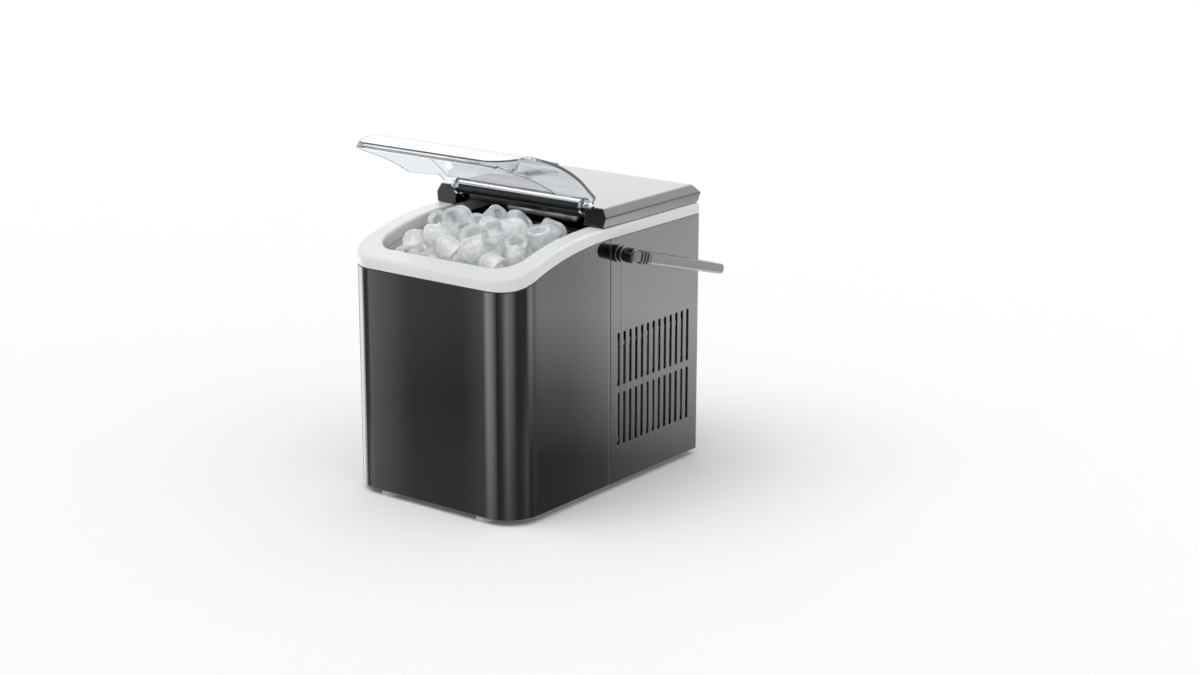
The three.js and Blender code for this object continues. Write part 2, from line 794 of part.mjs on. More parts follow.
function addLid() {
  const half = halfWidth - lidInset;
  const neckHalf = hingeHalf - fit - 0.2;
  const front = frontY - lidOverhang - hingeY;
  const wideRear = coverFrontY - 2 - hingeY;
  const neck = block([-neckHalf, wideRear - 1, -60], [neckHalf, barrelRadius + 1, 60]);
  const main = prism(plan(-half, front, half, wideRear, lidCorner, 3), -80, 60);
  const outside = acrossX(lidProfile(0), -half - 1, half + 1).intersect(main.add(neck));
  const skin = lidSkin;
  const hollowPlan = plan(
    -half + skin,
    front + skin,
    half - skin,
    wideRear - skin,
    lidCorner - skin,
    2,
  );
  const inside = acrossX(lidProfile(skin + 0.4), -half, half)
    .add(acrossX(lidProfile(skin + 12), -half, half))
    .add(acrossX(lidProfile(skin + 24), -half, half))
    .intersect(prism(hollowPlan, -90, 60));
  const aroundBeam = turnedX(rod(beamRadius + 0.8, -hingeHalf, hingeHalf), 0, 0, 1, 24);
  const ears = [-1, 1].map((side) =>
    turnedX(
      [
        [pinRadius + fit, neckHalf - earWidth],
        [barrelRadius, neckHalf - earWidth],
        [barrelRadius, neckHalf],
        [pinRadius + fit, neckHalf],
        [pinRadius + fit, neckHalf - earWidth],
      ],
      0,
      0,
      side,
      24,
    ),
  );
  const pinRoom = [-1, 1].map((side) =>
    turnedX(rod(pinRadius + fit, neckHalf - earWidth - 1, neckHalf + 1), 0, 0, side, 12),
  );
  const shape = cut(join([cut(outside, [inside, aroundBeam]), ...ears]), pinRoom);
  const lid = new THREE.Group();
  lid.position.set(0, hingeY, hingeZ);
  lid.rotation.x = THREE.MathUtils.degToRad(-lidOpenAngle);
  piece("lid", shape, "clear", lid);
  machine.add(lid);
}

// ---- Evaporator, tray and shovel -----------------------------------------------------------

function addEvaporator() {
  const manifoldTop = coverSeat - fit;
  const manifoldLow = manifoldTop - manifoldHeight;
  const reach = 2 * fingerPitch + fingerRadius + 1;
  const manifold = prism(
    plan(-reach, manifoldFrontY, reach, manifoldRearY, 8),
    manifoldLow,
    manifoldTop,
    3,
  );
  const rows = [
    [5, manifoldFrontY + 10],
    [4, manifoldRearY - 10],
  ];
  const fingers = rows.flatMap(([count, y]) =>
    Array.from({ length: count }, (_, i) => {
      const x = (i - (count - 1) / 2) * fingerPitch;
      const tip = trayBottom + trayWall + fingerGap;
      const profile = [
        [0, tip],
        [fingerRadius * 0.7, tip + 1.2],
        [fingerRadius, tip + 4],
        [fingerRadius, manifoldLow + 1],
        [0, manifoldLow + 1],
      ];
      return turned(profile, x, y, 12);
    }),
  );
  piece("evaporator", join([manifold, ...fingers]), "nickel");
  const bracketHalf = mouthHalf + 11;
  const bracket = block([-bracketHalf, 42, coverSeat], [bracketHalf, 54, coverSeat + 2]);
  piece("evaporator_bracket", bracket, "steel");
}

function addTray() {
  const outer = block([-trayHalf, trayFrontY, trayBottom], [trayHalf, trayRearY, trayTop]);
  const inner = block(
    [-trayHalf + trayWall, trayFrontY + trayWall, trayBottom + trayWall],
    [trayHalf - trayWall, trayRearY - trayWall, trayTop + 1],
  );
  const axisY = trayRearY + 3;
  const ears = [-1, 1].map((side) => {
    const [near, far] = [trayHalf - 5, trayHalf].map((x) => side * x).sort((a, b) => a - b);
    const ear = acrossX(
      [
        point(trayRearY - 3, trayAxisZ - 5),
        point(axisY + 4, trayAxisZ - 4),
        point(axisY + 4, trayAxisZ + 4),
        point(trayRearY - 3, trayAxisZ + 5),
      ],
      near,
      far,
    );
    const clear = block([-trayHalf, trayFrontY, 0], [trayHalf, trayRearY - trayWall, 400]);
    return ear.subtract(clear);
  });
  const shaftRoom = turnedX(
    rod(trayShaftRadius + fit, -trayHalf - 1, trayHalf + 1),
    axisY,
    trayAxisZ,
    1,
    12,
  );
  const tray = cut(join([outer.subtract(inner), ...ears]), [shaftRoom]);
  piece("water_tray", tray, "satinBlack");
  const motorLow = trayHalf + 4;
  const shaft = turnedX(rod(trayShaftRadius, -mouthHalf + 3, motorLow + 3), axisY, trayAxisZ);
  piece("tray_shaft", shaft, "steel");
  const motor = turnedX(
    [
      [trayShaftRadius + fit, motorLow],
      [13, motorLow],
      [13, mouthHalf - 1],
      [0, mouthHalf - 1],
      [0, motorLow + 5],
      [trayShaftRadius + fit, motorLow + 5],
      [trayShaftRadius + fit, motorLow],
    ],
    axisY,
    trayAxisZ,
    1,
    24,
  );
  piece("tray_motor", motor, "steel");
}

function addShovel() {
  const half = trayHalf;
  const plate = block([-half, shovelY - 1.2, shovelZ - shovelDrop], [half, shovelY + 1.2, shovelZ]);
  const pitch = (2 * half) / shovelTeeth;
  const gaps = Array.from({ length: shovelTeeth - 1 }, (_, i) => {
    const x = -half + (i + 1) * pitch;
    return block(
      [x - 2.5, shovelY - 3, shovelZ - shovelDrop - 1],
      [x + 2.5, shovelY + 3, shovelZ - 16],
    );
  });
  const barrel = turnedX(rod(4, -half, half), shovelY, shovelZ, 1, 16);
  const stubs = turnedX(rod(1.8, -mouthHalf + fit, mouthHalf - fit), shovelY, shovelZ, 1, 12);
  piece("ice_shovel", cut(join([plate, barrel, stubs]), gaps), "satinBlack");
}

// ---- Refrigeration -------------------------------------------------------------------------

const compressorLow = panTop + mountHeight + 2 * fit;
const compressorTop = chamberUnder - compressorHeadroom;
const dischargeZ = compressorTop - dischargeDrop;
const condenserRight = bodyInside - 4;
const fanX = condenserRight - condenserDepth - 16; // middle of the fan's blades

function addCompressor() {
  const canLow = compressorLow + 3;
  const canHigh = compressorTop;
  const footHalf = compressorRadius + 4;
  const mountReach = compressorRadius - 8;
  const can = turned(
    [
      [0, canLow - 1],
      [compressorRadius - 8, canLow - 1],
      [compressorRadius, canLow + 10],
      [compressorRadius, canHigh - 24],
      [compressorRadius - 6, canHigh - 10],
      [compressorRadius - 22, canHigh - 2],
      [0, canHigh],
    ],
    compressorX,
    compressorY,
    28,
  );
  const foot = prism(
    plan(
      compressorX - footHalf,
      compressorY - footHalf,
      compressorX + footHalf,
      compressorY + footHalf,
      14,
    ),
    compressorLow,
    canLow,
    4,
  );
  piece("compressor", can.add(foot), "satinBlack");
  [
    [-mountReach, -mountReach],
    [mountReach, -mountReach],
    [0, mountReach],
  ].forEach(([dx, dy], i) => {
    const mount = turned(
      rod(8, panTop + fit, panTop + fit + mountHeight),
      compressorX + dx,
      compressorY + dy,
      16,
    );
    piece(`compressor_mount_${i + 1}`, mount, "rubber");
  });
}

function addCondenser() {
  const [left, right] = [condenserRight - condenserDepth, condenserRight];
  const [front, rear] = [fanY - condenserLength / 2, fanY + condenserLength / 2];
  const core = block([left, front, condenserBottom], [right, rear, condenserTop]);
  const pitch = condenserLength / (condenserFins + 1);
  const grooves = [];
  for (let i = 1; i <= condenserFins; i += 1) {
    const y = front + i * pitch;
    for (const [low, high] of [
      [left - 1, left + condenserDepth * 0.38],
      [right - condenserDepth * 0.38, right + 1],
    ]) {
      grooves.push(block([low, y - 4, condenserBottom + 6], [high, y + 4, condenserTop - 6]));
    }
  }
  piece("condenser", cut(core, grooves), "fins");
}

function addFan() {
  const shroudX = fanX - 12;
  const half = condenserLength / 2 - 2;
  const ringIn = fanRadius + 2.5;
  const plate = block(
    [shroudX, fanY - half, condenserBottom],
    [shroudX + 3, fanY + half, condenserTop],
  );
  const ring = turnedX(rod(ringIn + 2, shroudX, shroudX + 20), fanY, fanZ, 1, 32);
  const bore = turnedX(rod(ringIn, shroudX - 1, shroudX + 21), fanY, fanZ, 1, 32);
  const clampLow = shroudX - 1;
  const clamp = turnedX(rod(fanMotorRadius + 5, clampLow, shroudX + 3), fanY, fanZ, 1, 24);
  const motorRoom = turnedX(rod(fanMotorRadius + fit, clampLow - 1, shroudX + 4), fanY, fanZ);
  const arms = [0, 1, 2].map((i) => {
    const reach = ringIn - fanMotorRadius;
    const arm = new THREE.BoxGeometry(3, 6, reach + 3);
    arm.translate(clampLow + 1.5, 0, fanMotorRadius + 2 + reach / 2);
    arm.rotateX((i * 2 * Math.PI) / 3).translate(0, fanY, fanZ);
    return solid(arm);
  });
  const shroud = cut(join([plate, ring]), [bore]);
  piece("fan_shroud", cut(join([shroud, clamp, ...arms]), [motorRoom]), "satinBlack");

  const motor = turnedX(
    [
      [0, clampLow - 22],
      [fanMotorRadius, clampLow - 22],
      [fanMotorRadius, shroudX + 2],
      [2.5, shroudX + 2],
      [2.5, fanX + 5],
      [0, fanX + 5],
    ],
    fanY,
    fanZ,
  );
  piece("fan_motor", motor, "steel");

  const hub = turnedX(
    [
      [2.5 + fit, fanX - 5],
      [fanHub, fanX - 5],
      [fanHub, fanX + 7],
      [0, fanX + 7],
      [0, fanX + 5 + fit],
      [2.5 + fit, fanX + 5 + fit],
      [2.5 + fit, fanX - 5],
    ],
    0,
    0,
    1,
    24,
  );
  const bladeLength = fanRadius - fanHub + 2;
  const blades = Array.from({ length: fanBlades }, (_, i) => {
    const blade = new THREE.BoxGeometry(1.8, 20, bladeLength);
    blade.rotateZ(0.6).translate(fanX + 1, 0, fanRadius - bladeLength / 2);
    return solid(blade.rotateX((i * 2 * Math.PI) / fanBlades));
  });
  const room = turnedX(rod(2.5 + fit, fanX - 7, fanX + 5 + fit), 0, 0);
  const reachCut = turnedX(rod(fanRadius, fanX - 20, fanX + 20), 0, 0, 1, 40);
  const fan = cut(join([hub, ...blades]), [room]).intersect(reachCut);
  piece("fan", fan.translate([0, fanY, fanZ]), "satinBlack");
}

function addPipes() {
  const condenserX = condenserRight - condenserDepth / 2;
  const canRight = compressorX + compressorRadius;
  const canRear = compressorY + compressorRadius;
  const discharge = [
    [canRight + fit, compressorY, dischargeZ],
    [canRight + 8, compressorY, dischargeZ],
    [canRight + 18, compressorY + 3, dischargeZ + 8],
    [canRight + 34, compressorY + 6, dischargeZ + 28],
    [fanX - 12, compressorY + 8, condenserTop + 11],
    [condenserX - 10, compressorY + 8, condenserTop + 13],
    [condenserX, compressorY + 8, condenserTop + 8],
    [condenserX, compressorY + 8, condenserTop + fit],
  ];
  piece("discharge_line", tube(discharge, pipeRadius), "copper");

  const drierX = 28;
  const drierY = rearY - wall - drierRadius - 6;
  const drierLow = condenserBottom + drierRise;
  const drierHigh = condenserTop - drierDrop;
  const condenserRear = fanY + condenserLength / 2;
  const outletZ = condenserBottom + outletRise;
  const liquid = [
    [condenserX, condenserRear + fit, outletZ],
    [condenserX, condenserRear + 5, outletZ],
    [condenserX - 5, condenserRear + 9, outletZ - 2],
    [condenserX - 18, condenserRear + 9, outletZ - 6],
    [drierX + 14, drierY, outletZ - 6],
    [drierX + 2, drierY, outletZ],
    [drierX, drierY, drierLow - fit],
  ];
  piece("liquid_line", tube(liquid, pipeRadius), "copper");
  const drier = turned(
    [
      [0, drierLow],
      [pipeRadius, drierLow],
      [drierRadius, drierLow + 8],
      [drierRadius, drierHigh - 8],
      [pipeRadius, drierHigh],
      [0, drierHigh],
    ],
    drierX,
    drierY,
  );
  piece("filter_drier", drier, "copper");

  const over = coverSeat + 9;
  const lineY = (lineHole.front + lineHole.rear) / 2;
  const capillary = [
    [drierX, drierY, drierHigh + fit],
    [drierX - 2, drierY - 2, drierHigh + 38],
    [18, lineY + 6, bodyHeight - lineDrop + 2.4],
    [14, lineY, bodyHeight],
    [13, lineY - 4, over],
    [12, lineY - 24, over + 2],
    [12, manifoldRearY + 4, over + 1],
    [12, manifoldRearY - 8, over - 3],
    [12, manifoldRearY - 8, coverSeat],
  ];
  piece("capillary_line", tube(capillary, capillaryRadius, 30), "copper");
  const suction = [
    [-16, manifoldRearY - 8, coverSeat + fit],
    [-16, manifoldRearY - 8, over - 4],
    [-16, manifoldRearY + 6, over + 1],
    [-16, lineY - 22, over + 1],
    [-17, lineY - 3, over - 1],
    [-18, lineY, bodyHeight],
    [-22, lineY + 8, bodyHeight - lineDrop - 2.6],
    [compressorX + 6, canRear + 4, dischargeZ + 38],
    [compressorX + 2, canRear + 8, dischargeZ],
    [compressorX, canRear + 6, dischargeZ - 14],
    [compressorX, canRear + fit, dischargeZ - 14],
  ];
  piece("suction_line", tube(suction, pipeRadius, 30), "copper");
}

// ---- Water circuit -------------------------------------------------------------------------

function addWater() {
  const floor = binFloor - wall;
  const pump = join([
    turned(rod(18, panTop + 4, floor - 8), pumpX, pumpY),
    turned(rod(hoseRadius, floor - 9, binFloor + 3), pumpX, pumpY, 12),
    block([pumpX - 22, pumpY - 22, panTop + fit], [pumpX + 22, pumpY + 22, panTop + 5]),
    block([pumpX - 6, pumpY + 10, panTop + 18], [pumpX + 6, pumpY + 22, panTop + 30]),
  ]);
  piece("water_pump", pump, "satinBlack");
  const hoseZ = panTop + 24;
  const hose = [
    [pumpX, pumpY + 22 + fit, hoseZ],
    [pumpX, pumpY + 30, hoseZ],
    [pumpX + 5, pumpY + 42, hoseZ],
    [hoseX - 4, hoseY - 16, hoseZ + 2],
    [hoseX, hoseY - 2, hoseZ + 26],
    [hoseX, hoseY, chamberFloor - 64],
    [hoseX, hoseY, chamberFloor],
    [hoseX, hoseY, trayBottom + 9],
    [hoseX - 2, hoseY + 6, trayTop + 10],
    [hoseX - 10, hoseY + 14, trayTop + 15],
    [trayHalf - 5, hoseY + 19, trayTop + 7],
  ];
  piece("water_hose", tube(hose, hoseRadius, 28), "lens");

  const spoutInside = bodyInside - 11;
  const spout = turnedX(
    [
      [5, spoutInside],
      [drainRadius, spoutInside],
      [drainRadius, halfWidth + 2],
      [5, halfWidth + 2],
      [5, spoutInside],
    ],
    drainY,
    drainZ,
    -1,
  );
  piece("drain_spout", spout, "satinBlack");
  const plug = turnedX(
    [
      [0, halfWidth - 8],
      [5 - fit, halfWidth - 8],
      [5 - fit, halfWidth + 2 + fit],
      [drainRadius + 1.5, halfWidth + 2 + fit],
      [drainRadius + 0.5, halfWidth + 6],
      [0, halfWidth + 6],
    ],
    drainY,
    drainZ,
    -1,
  );
  piece("drain_plug", plug, "rubber");
  const drain = [
    [-spoutInside + fit, drainY, drainZ],
    [-spoutInside + 14, drainY, drainZ],
    [drainX - 6, drainY, drainZ + 6],
    [drainX, drainY, drainZ + 18],
    [drainX, drainY, binFloor - 0.5],
  ];
  piece("drain_hose", tube(drain, hoseRadius, 12), "lens");
}

// ---- Carrying handle -----------------------------------------------------------------------

function addHandle() {
  const handle = new THREE.Group();
  handle.position.set(0, pivotY, pivotZ);
  handle.rotation.x = -handleFold;
  const armStart = knuckleLength + fit;
  const armEnd = handleReach + gripRadius + 0.5;
  for (const [side, label] of [
    [-1, "left"],
    [1, "right"],
  ]) {
    const pivot = turnedX(
      [
        [0, halfWidth - 7],
        [7, halfWidth - 7],
        [7, bodyInside - fit],
        [pivotRadius, bodyInside - fit],
        [pivotRadius, halfWidth + fit],
        [pivotFlange, halfWidth + fit],
        [pivotFlange, halfWidth + 3],
        [pivotRadius, halfWidth + 3],
        [pivotRadius, armCentre + 1],
        [0, armCentre + 1],
      ],
      pivotY,
      pivotZ,
      side,
    );
    piece(`handle_pivot_${label}`, pivot, "satinBlack");

    const [inner, outer] = [halfWidth + 3 + fit, armCentre + armWidth / 2 + 0.5];
    const eye = turnedX(
      [
        [0, inner],
        [8.5, inner],
        [8.5, inner + 5],
        [7.5, inner + 6],
        [7.5, outer - 1.5],
        [6, outer],
        [0, outer],
      ],
      0,
      0,
      side,
      24,
    );
    const [near, far] = [armCentre - armWidth / 2 - 0.5, outer - 0.5]
      .map((x) => side * x)
      .sort((a, b) => a - b);
    const rise = armHeight / 2 + 0.5;
    const socket = block([near, 0, -rise], [far, knuckleLength, rise]);
    const room = turnedX(rod(pivotRadius + fit, inner - 1, armCentre + 1 + fit), 0, 0, side);
    piece(`handle_knuckle_${label}`, cut(join([eye, socket]), [room]), "satinBlack", handle);

    const [low, high] = [armCentre - armWidth / 2, armCentre + armWidth / 2]
      .map((x) => side * x)
      .sort((a, b) => a - b);
    const endRise = armEndHeight / 2;
    const arm = acrossX(
      [
        point(armStart, -armHeight / 2),
        point(armEnd - 2, -endRise),
        point(armEnd, -endRise + 2),
        point(armEnd, endRise - 2),
        point(armEnd - 2, endRise),
        point(armStart, armHeight / 2),
      ],
      low,
      high,
    );
    piece(`handle_arm_${label}`, arm, "armGrey", handle);
  }
  const gripHalf = armCentre - armWidth / 2 - fit;
  const grip = turnedX(rod(gripRadius, -gripHalf, gripHalf), handleReach, 0, 1, 20);
  piece("handle_grip", grip, "armGrey", handle);
  machine.add(handle);
}

// ---- Power inlet ---------------------------------------------------------------------------

function addInlet() {
  const [w, h] = [inletWidth / 2, inletHeight / 2];
  const body = block([inletX - w, rearY - inletDepth, inletZ - h], [inletX + w, rearY + 1, inletZ + h]);
  const flange = block(
    [inletX - w - 5, rearY + fit, inletZ - h - 3],
    [inletX + w + 5, rearY + 2.4, inletZ + h + 3],
  );
  const socket = block(
    [inletX - w + 2, rearY - inletDepth + 2, inletZ - h + 2],
    [inletX + w - 2, rearY + 3, inletZ + h - 2],
  );
  piece("power_inlet", join([body, flange]).subtract(socket), "satinBlack");
}

// ---- Assembly ------------------------------------------------------------------------------

const walls = bodyWalls();
addBase();
addFrontShell(walls);
addRearShell(walls);
addRim();
addBin();
addBasket();
addCover();
addControls();
addHinge();
addLid();
addEvaporator();
addTray();
addShovel();
addCompressor();
addCondenser();
addFan();
addPipes();
addWater();
addHandle();
addInlet();

// The frame's origin is the middle of the whole object's footprint.
const bounds = new THREE.Box3().setFromObject(machine, true);
machine.position.set(
  -(bounds.min.x + bounds.max.x) / 2,
  -(bounds.min.y + bounds.max.y) / 2,
  -bounds.min.z,
);

export default machine;
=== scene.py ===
"""Countertop ice maker: its visible surfaces, finishes and studio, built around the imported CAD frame.

Lengths are in millimetres until a piece is placed, and pieces stand where the frame's boxes put them.
X runs across the machine, -Y is its front and Z = 0 is the surface that its feet stand on.
"""

from __future__ import annotations

import logging
import math
from collections.abc import Callable, Iterable, Sequence
from dataclasses import dataclass, field
from enum import Enum

import bmesh
import bpy
import numpy as np
from mathutils import Matrix, Vector


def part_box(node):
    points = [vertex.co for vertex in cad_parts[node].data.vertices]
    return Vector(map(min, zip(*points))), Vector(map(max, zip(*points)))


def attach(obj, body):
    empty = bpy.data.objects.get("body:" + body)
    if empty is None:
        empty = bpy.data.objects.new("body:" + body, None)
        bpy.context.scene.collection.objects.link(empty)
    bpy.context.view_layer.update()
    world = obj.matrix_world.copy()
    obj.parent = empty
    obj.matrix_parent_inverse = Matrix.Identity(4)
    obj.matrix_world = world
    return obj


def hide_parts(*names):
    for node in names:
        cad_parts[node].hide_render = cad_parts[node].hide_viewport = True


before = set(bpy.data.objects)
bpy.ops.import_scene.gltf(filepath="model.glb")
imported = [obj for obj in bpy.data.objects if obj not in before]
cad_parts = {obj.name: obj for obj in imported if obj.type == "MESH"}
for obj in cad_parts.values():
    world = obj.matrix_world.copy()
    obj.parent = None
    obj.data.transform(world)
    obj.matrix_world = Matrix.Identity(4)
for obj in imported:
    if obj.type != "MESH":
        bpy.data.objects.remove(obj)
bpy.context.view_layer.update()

MM = 0.001
Point = tuple[float, float]
LOG = logging.getLogger("ice_maker")
FEET = ("foot_front_left", "foot_front_right", "foot_rear_left", "foot_rear_right")
REAR_SCREWS = ("rear_screw_left", "rear_screw_right")
# Higher than anything on the machine, for solids that cut or keep all that stands above a line.
SKY = 400.0
# Edges that turn by more than this many degrees are softened.
SOFT_ANGLE = 34.0


class Axis(Enum):
    """The direction that a profile is carried along or turned about."""

    X = "x"
    Y = "y"
    Z = "z"


class Merge(Enum):
    """How one solid acts on another."""

    CUT = "DIFFERENCE"
    JOIN = "UNION"
    KEEP = "INTERSECT"


# ---- Outlines --------------------------------------------------------------------------------


def arc(centre: Point, radius: float, start: float, end: float, steps: int) -> list[Point]:
    """Points along an arc, both ends included.

    Args:
        centre: Middle of the circle.
        radius: Its radius.
        start: Angle of the first point in degrees.
        end: Angle of the last point in degrees.
        steps: Number of chords.

    Returns:
        The points in order.
    """
    angles = [math.radians(start + (end - start) * i / steps) for i in range(steps + 1)]
    return [(centre[0] + radius * math.cos(a), centre[1] + radius * math.sin(a)) for a in angles]


def rounded(
    left: float,
    low: float,
    right: float,
    high: float,
    low_radius: float,
    high_radius: float | None = None,
    steps: int = 10,
) -> list[Point]:
    """A rectangle whose two low and two high corners have their own radii.

    Args:
        left: Lowest first coordinate.
        low: Lowest second coordinate.
        right: Highest first coordinate.
        high: Highest second coordinate.
        low_radius: Radius of the two low corners.
        high_radius: Radius of the two high corners, or None for the same.
        steps: Chords in each corner.

    Returns:
        The outline, anticlockwise.
    """
    f = low_radius
    r = low_radius if high_radius is None else high_radius
    return [
        *arc((right - f, low + f), f, -90, 0, steps),
        *arc((right - r, high - r), r, 0, 90, steps),
        *arc((left + r, high - r), r, 90, 180, steps),
        *arc((left + f, low + f), f, 180, 270, steps),
    ]


def slot_outline(middle: float, low: float, high: float, width: float, steps: int = 8) -> list[Point]:
    """An upright slot with round ends.

    Args:
        middle: Its place across.
        low: Its lower end.
        high: Its upper end.
        width: Its width.
        steps: Chords in each end.

    Returns:
        The outline, anticlockwise.
    """
    r = width / 2
    return [
        *arc((middle, high - r), r, 0, 180, steps),
        *arc((middle, low + r), r, 180, 360, steps),
    ]


def bezier(points: Sequence[Point], steps: int) -> list[Point]:
    """Points on a cubic curve.

    Args:
        points: Its start, its two control points and its end.
        steps: Number of chords.

    Returns:
        The points from start to end.
    """
    a, b, c, d = (np.array(p, float) for p in points)
    made = []
    for t in np.linspace(0, 1, steps + 1):
        s = 1 - t
        p = s**3 * a + 3 * s * s * t * b + 3 * s * t * t * c + t**3 * d
        made.append((float(p[0]), float(p[1])))
    return made


# ---- Solids ----------------------------------------------------------------------------------


class Solid:
    """A closed shape in millimetres, kept as a mesh until it is placed as a piece."""

    def __init__(self, mesh: bpy.types.Mesh) -> None:
        """Keeps a closed mesh.

        Args:
            mesh: The mesh, which this solid then owns.
        """
        self.mesh = mesh

    @staticmethod
    def made(vertices: Iterable[Sequence[float]], faces: Iterable[Sequence[int]]) -> Solid:
        """A solid from bare vertices and faces, with its faces turned outwards.

        Args:
            vertices: Places in millimetres.
            faces: Vertex numbers of each face.

        Returns:
            The solid.
        """
        mesh = bpy.data.meshes.new("solid")
        mesh.from_pydata([tuple(v) for v in vertices], [], [tuple(f) for f in faces])
        work = bmesh.new()
        work.from_mesh(mesh)
        bmesh.ops.remove_doubles(work, verts=work.verts, dist=1e-4)
        bmesh.ops.dissolve_degenerate(work, dist=1e-4, edges=work.edges)
        bmesh.ops.recalc_face_normals(work, faces=work.faces)
        work.to_mesh(mesh)
        work.free()
        return Solid(mesh)

    @staticmethod
    def loft(rings: Sequence[Sequence[Sequence[float]]], loop: bool = False) -> Solid:
        """A skin over rings that all have the same number of points.

        Args:
            rings: The rings in order.
            loop: Joins the last ring to the first, where True, and caps both ends otherwise.

        Returns:
            The solid.
        """
        count = len(rings[0])
        vertices = [p for ring in rings for p in ring]
        faces = []
        for i in range(len(rings) if loop else len(rings) - 1):
            here, there = i * count, ((i + 1) % len(rings)) * count
            for j in range(count):
                k = (j + 1) % count
                faces.append((here + j, here + k, there + k, there + j))
        if not loop:
            faces.append(tuple(range(count))[::-1])
            faces.append(tuple(range((len(rings) - 1) * count, len(rings) * count)))
        return Solid.made(vertices, faces)

    @staticmethod
    def extrude(outline: Sequence[Point], low: float, high: float, along: Axis = Axis.Z) -> Solid:
        """An outline carried along an axis.

        Args:
            outline: Points as (x, y), (y, z) or (x, z), for an axis of Z, X or Y.
            low: Where it starts.
            high: Where it ends.
            along: The axis.

        Returns:
            The solid.
        """
        def ring(at: float) -> list[tuple[float, float, float]]:
            """The outline at one place along the axis."""
            if along is Axis.X:
                return [(at, a, b) for a, b in outline]
            if along is Axis.Y:
                return [(a, at, b) for a, b in outline]
            return [(a, b, at) for a, b in outline]

        return Solid.loft([ring(low), ring(high)])

    @staticmethod
    def box(low: Sequence[float], high: Sequence[float]) -> Solid:
        """A block between two corners."""
        return Solid.extrude(rounded(low[0], low[1], high[0], high[1], 0, 0, 1), low[2], high[2])

    @staticmethod
    def turned(
        profile: Sequence[Point],
        centre: Sequence[float],
        about: Axis = Axis.Z,
        steps: int = 32,
        ring: bool = False,
    ) -> Solid:
        """A profile turned about an axis.

        Args:
            profile: Points as (radius, distance along the axis).
            centre: A point on the axis, where the distance is 0.
            about: The axis.
            steps: Sides of the turned shape.
            ring: The profile closes on itself away from the axis.

        Returns:
            The solid.
        """
        rings = []
        for i in range(steps):
            a = 2 * math.pi * i / steps
            line = []
            for radius, along in profile:
                across, up = radius * math.cos(a), radius * math.sin(a)
                if about is Axis.X:
                    p = (along, across, up)
                elif about is Axis.Y:
                    p = (across, along, up)
                else:
                    p = (across, up, along)
                line.append(tuple(c + d for c, d in zip(centre, p)))
            rings.append(line)
        count = len(profile)
        vertices = [p for line in rings for p in line]
        faces = []
        for i in range(steps):
            here, there = i * count, ((i + 1) % steps) * count
            for j in range(count if ring else count - 1):
                k = (j + 1) % count
                faces.append((here + j, here + k, there + k, there + j))
        return Solid.made(vertices, faces)

    @staticmethod
    def rod(
        radius: float,
        low: float,
        high: float,
        centre: Sequence[float],
        about: Axis = Axis.Z,
        steps: int = 32,
        chamfer: float = 0.0,
    ) -> Solid:
        """A round bar along an axis.

        Args:
            radius: Its radius.
            low: Where it starts, from the centre along the axis.
            high: Where it ends.
            centre: A point on the axis.
            about: The axis.
            steps: Its sides.
            chamfer: Size of the chamfer round both its ends.

        Returns:
            The solid.
        """
        profile = [(0, low), (radius, low), (radius, high), (0, high)]
        if chamfer:
            face = radius - chamfer
            sides = [(face, low), (radius, low + chamfer), (radius, high - chamfer), (face, high)]
            profile[1:3] = sides
        return Solid.turned(profile, centre, about, steps)

    @staticmethod
    def group(solids: Iterable[Solid]) -> Solid:
        """Several solids that don't touch, as one mesh."""
        work = bmesh.new()
        for one in solids:
            work.from_mesh(one.mesh)
        mesh = bpy.data.meshes.new("group")
        work.to_mesh(mesh)
        work.free()
        return Solid(mesh)

    def moved(self, matrix: Matrix) -> Solid:
        """A copy of this solid in another place."""
        mesh = self.mesh.copy()
        mesh.transform(matrix)
        return Solid(mesh)

    def merged(self, other: Solid, how: Merge) -> Solid:
        """This solid with another cut from it, joined to it or laid over it.

        Args:
            other: The other solid.
            how: What is done.

        Returns:
            The solid that is left.
        """
        scene = bpy.context.scene.collection
        base = bpy.data.objects.new("base", self.mesh)
        tool = bpy.data.objects.new("tool", other.mesh)
        scene.objects.link(base)
        scene.objects.link(tool)
        change = base.modifiers.new("merge", "BOOLEAN")
        change.operation = how.value
        change.solver = "MANIFOLD"
        change.object = tool
        graph = bpy.context.evaluated_depsgraph_get()
        mesh = bpy.data.meshes.new_from_object(base.evaluated_get(graph))
        bpy.data.objects.remove(base)
        bpy.data.objects.remove(tool)
        if not mesh.polygons:
            raise ValueError("nothing is left of a solid")
        return Solid(mesh)

    def cut(self, *others: Solid) -> Solid:
        """This solid without the others."""
        left = self
        for other in others:
            left = left.merged(other, Merge.CUT)
        return left

    def join(self, *others: Solid) -> Solid:
        """This solid with the others added."""
        left = self
        for other in others:
            left = left.merged(other, Merge.JOIN)
        return left

    def keep(self, *others: Solid) -> Solid:
        """What this solid shares with all the others."""
        left = self
        for other in others:
            left = left.merged(other, Merge.KEEP)
        return left


# ---- Finishes --------------------------------------------------------------------------------


def linear(hex_colour: str) -> tuple[float, float, float, float]:
    """An sRGB hex colour as the linear colour that the shaders take."""
    parts = [int(hex_colour.lstrip("#")[i : i + 2], 16) / 255 for i in (0, 2, 4)]
    made = [p / 12.92 if p <= 0.04045 else ((p + 0.055) / 1.055) ** 2.4 for p in parts]
    return (made[0], made[1], made[2], 1.0)


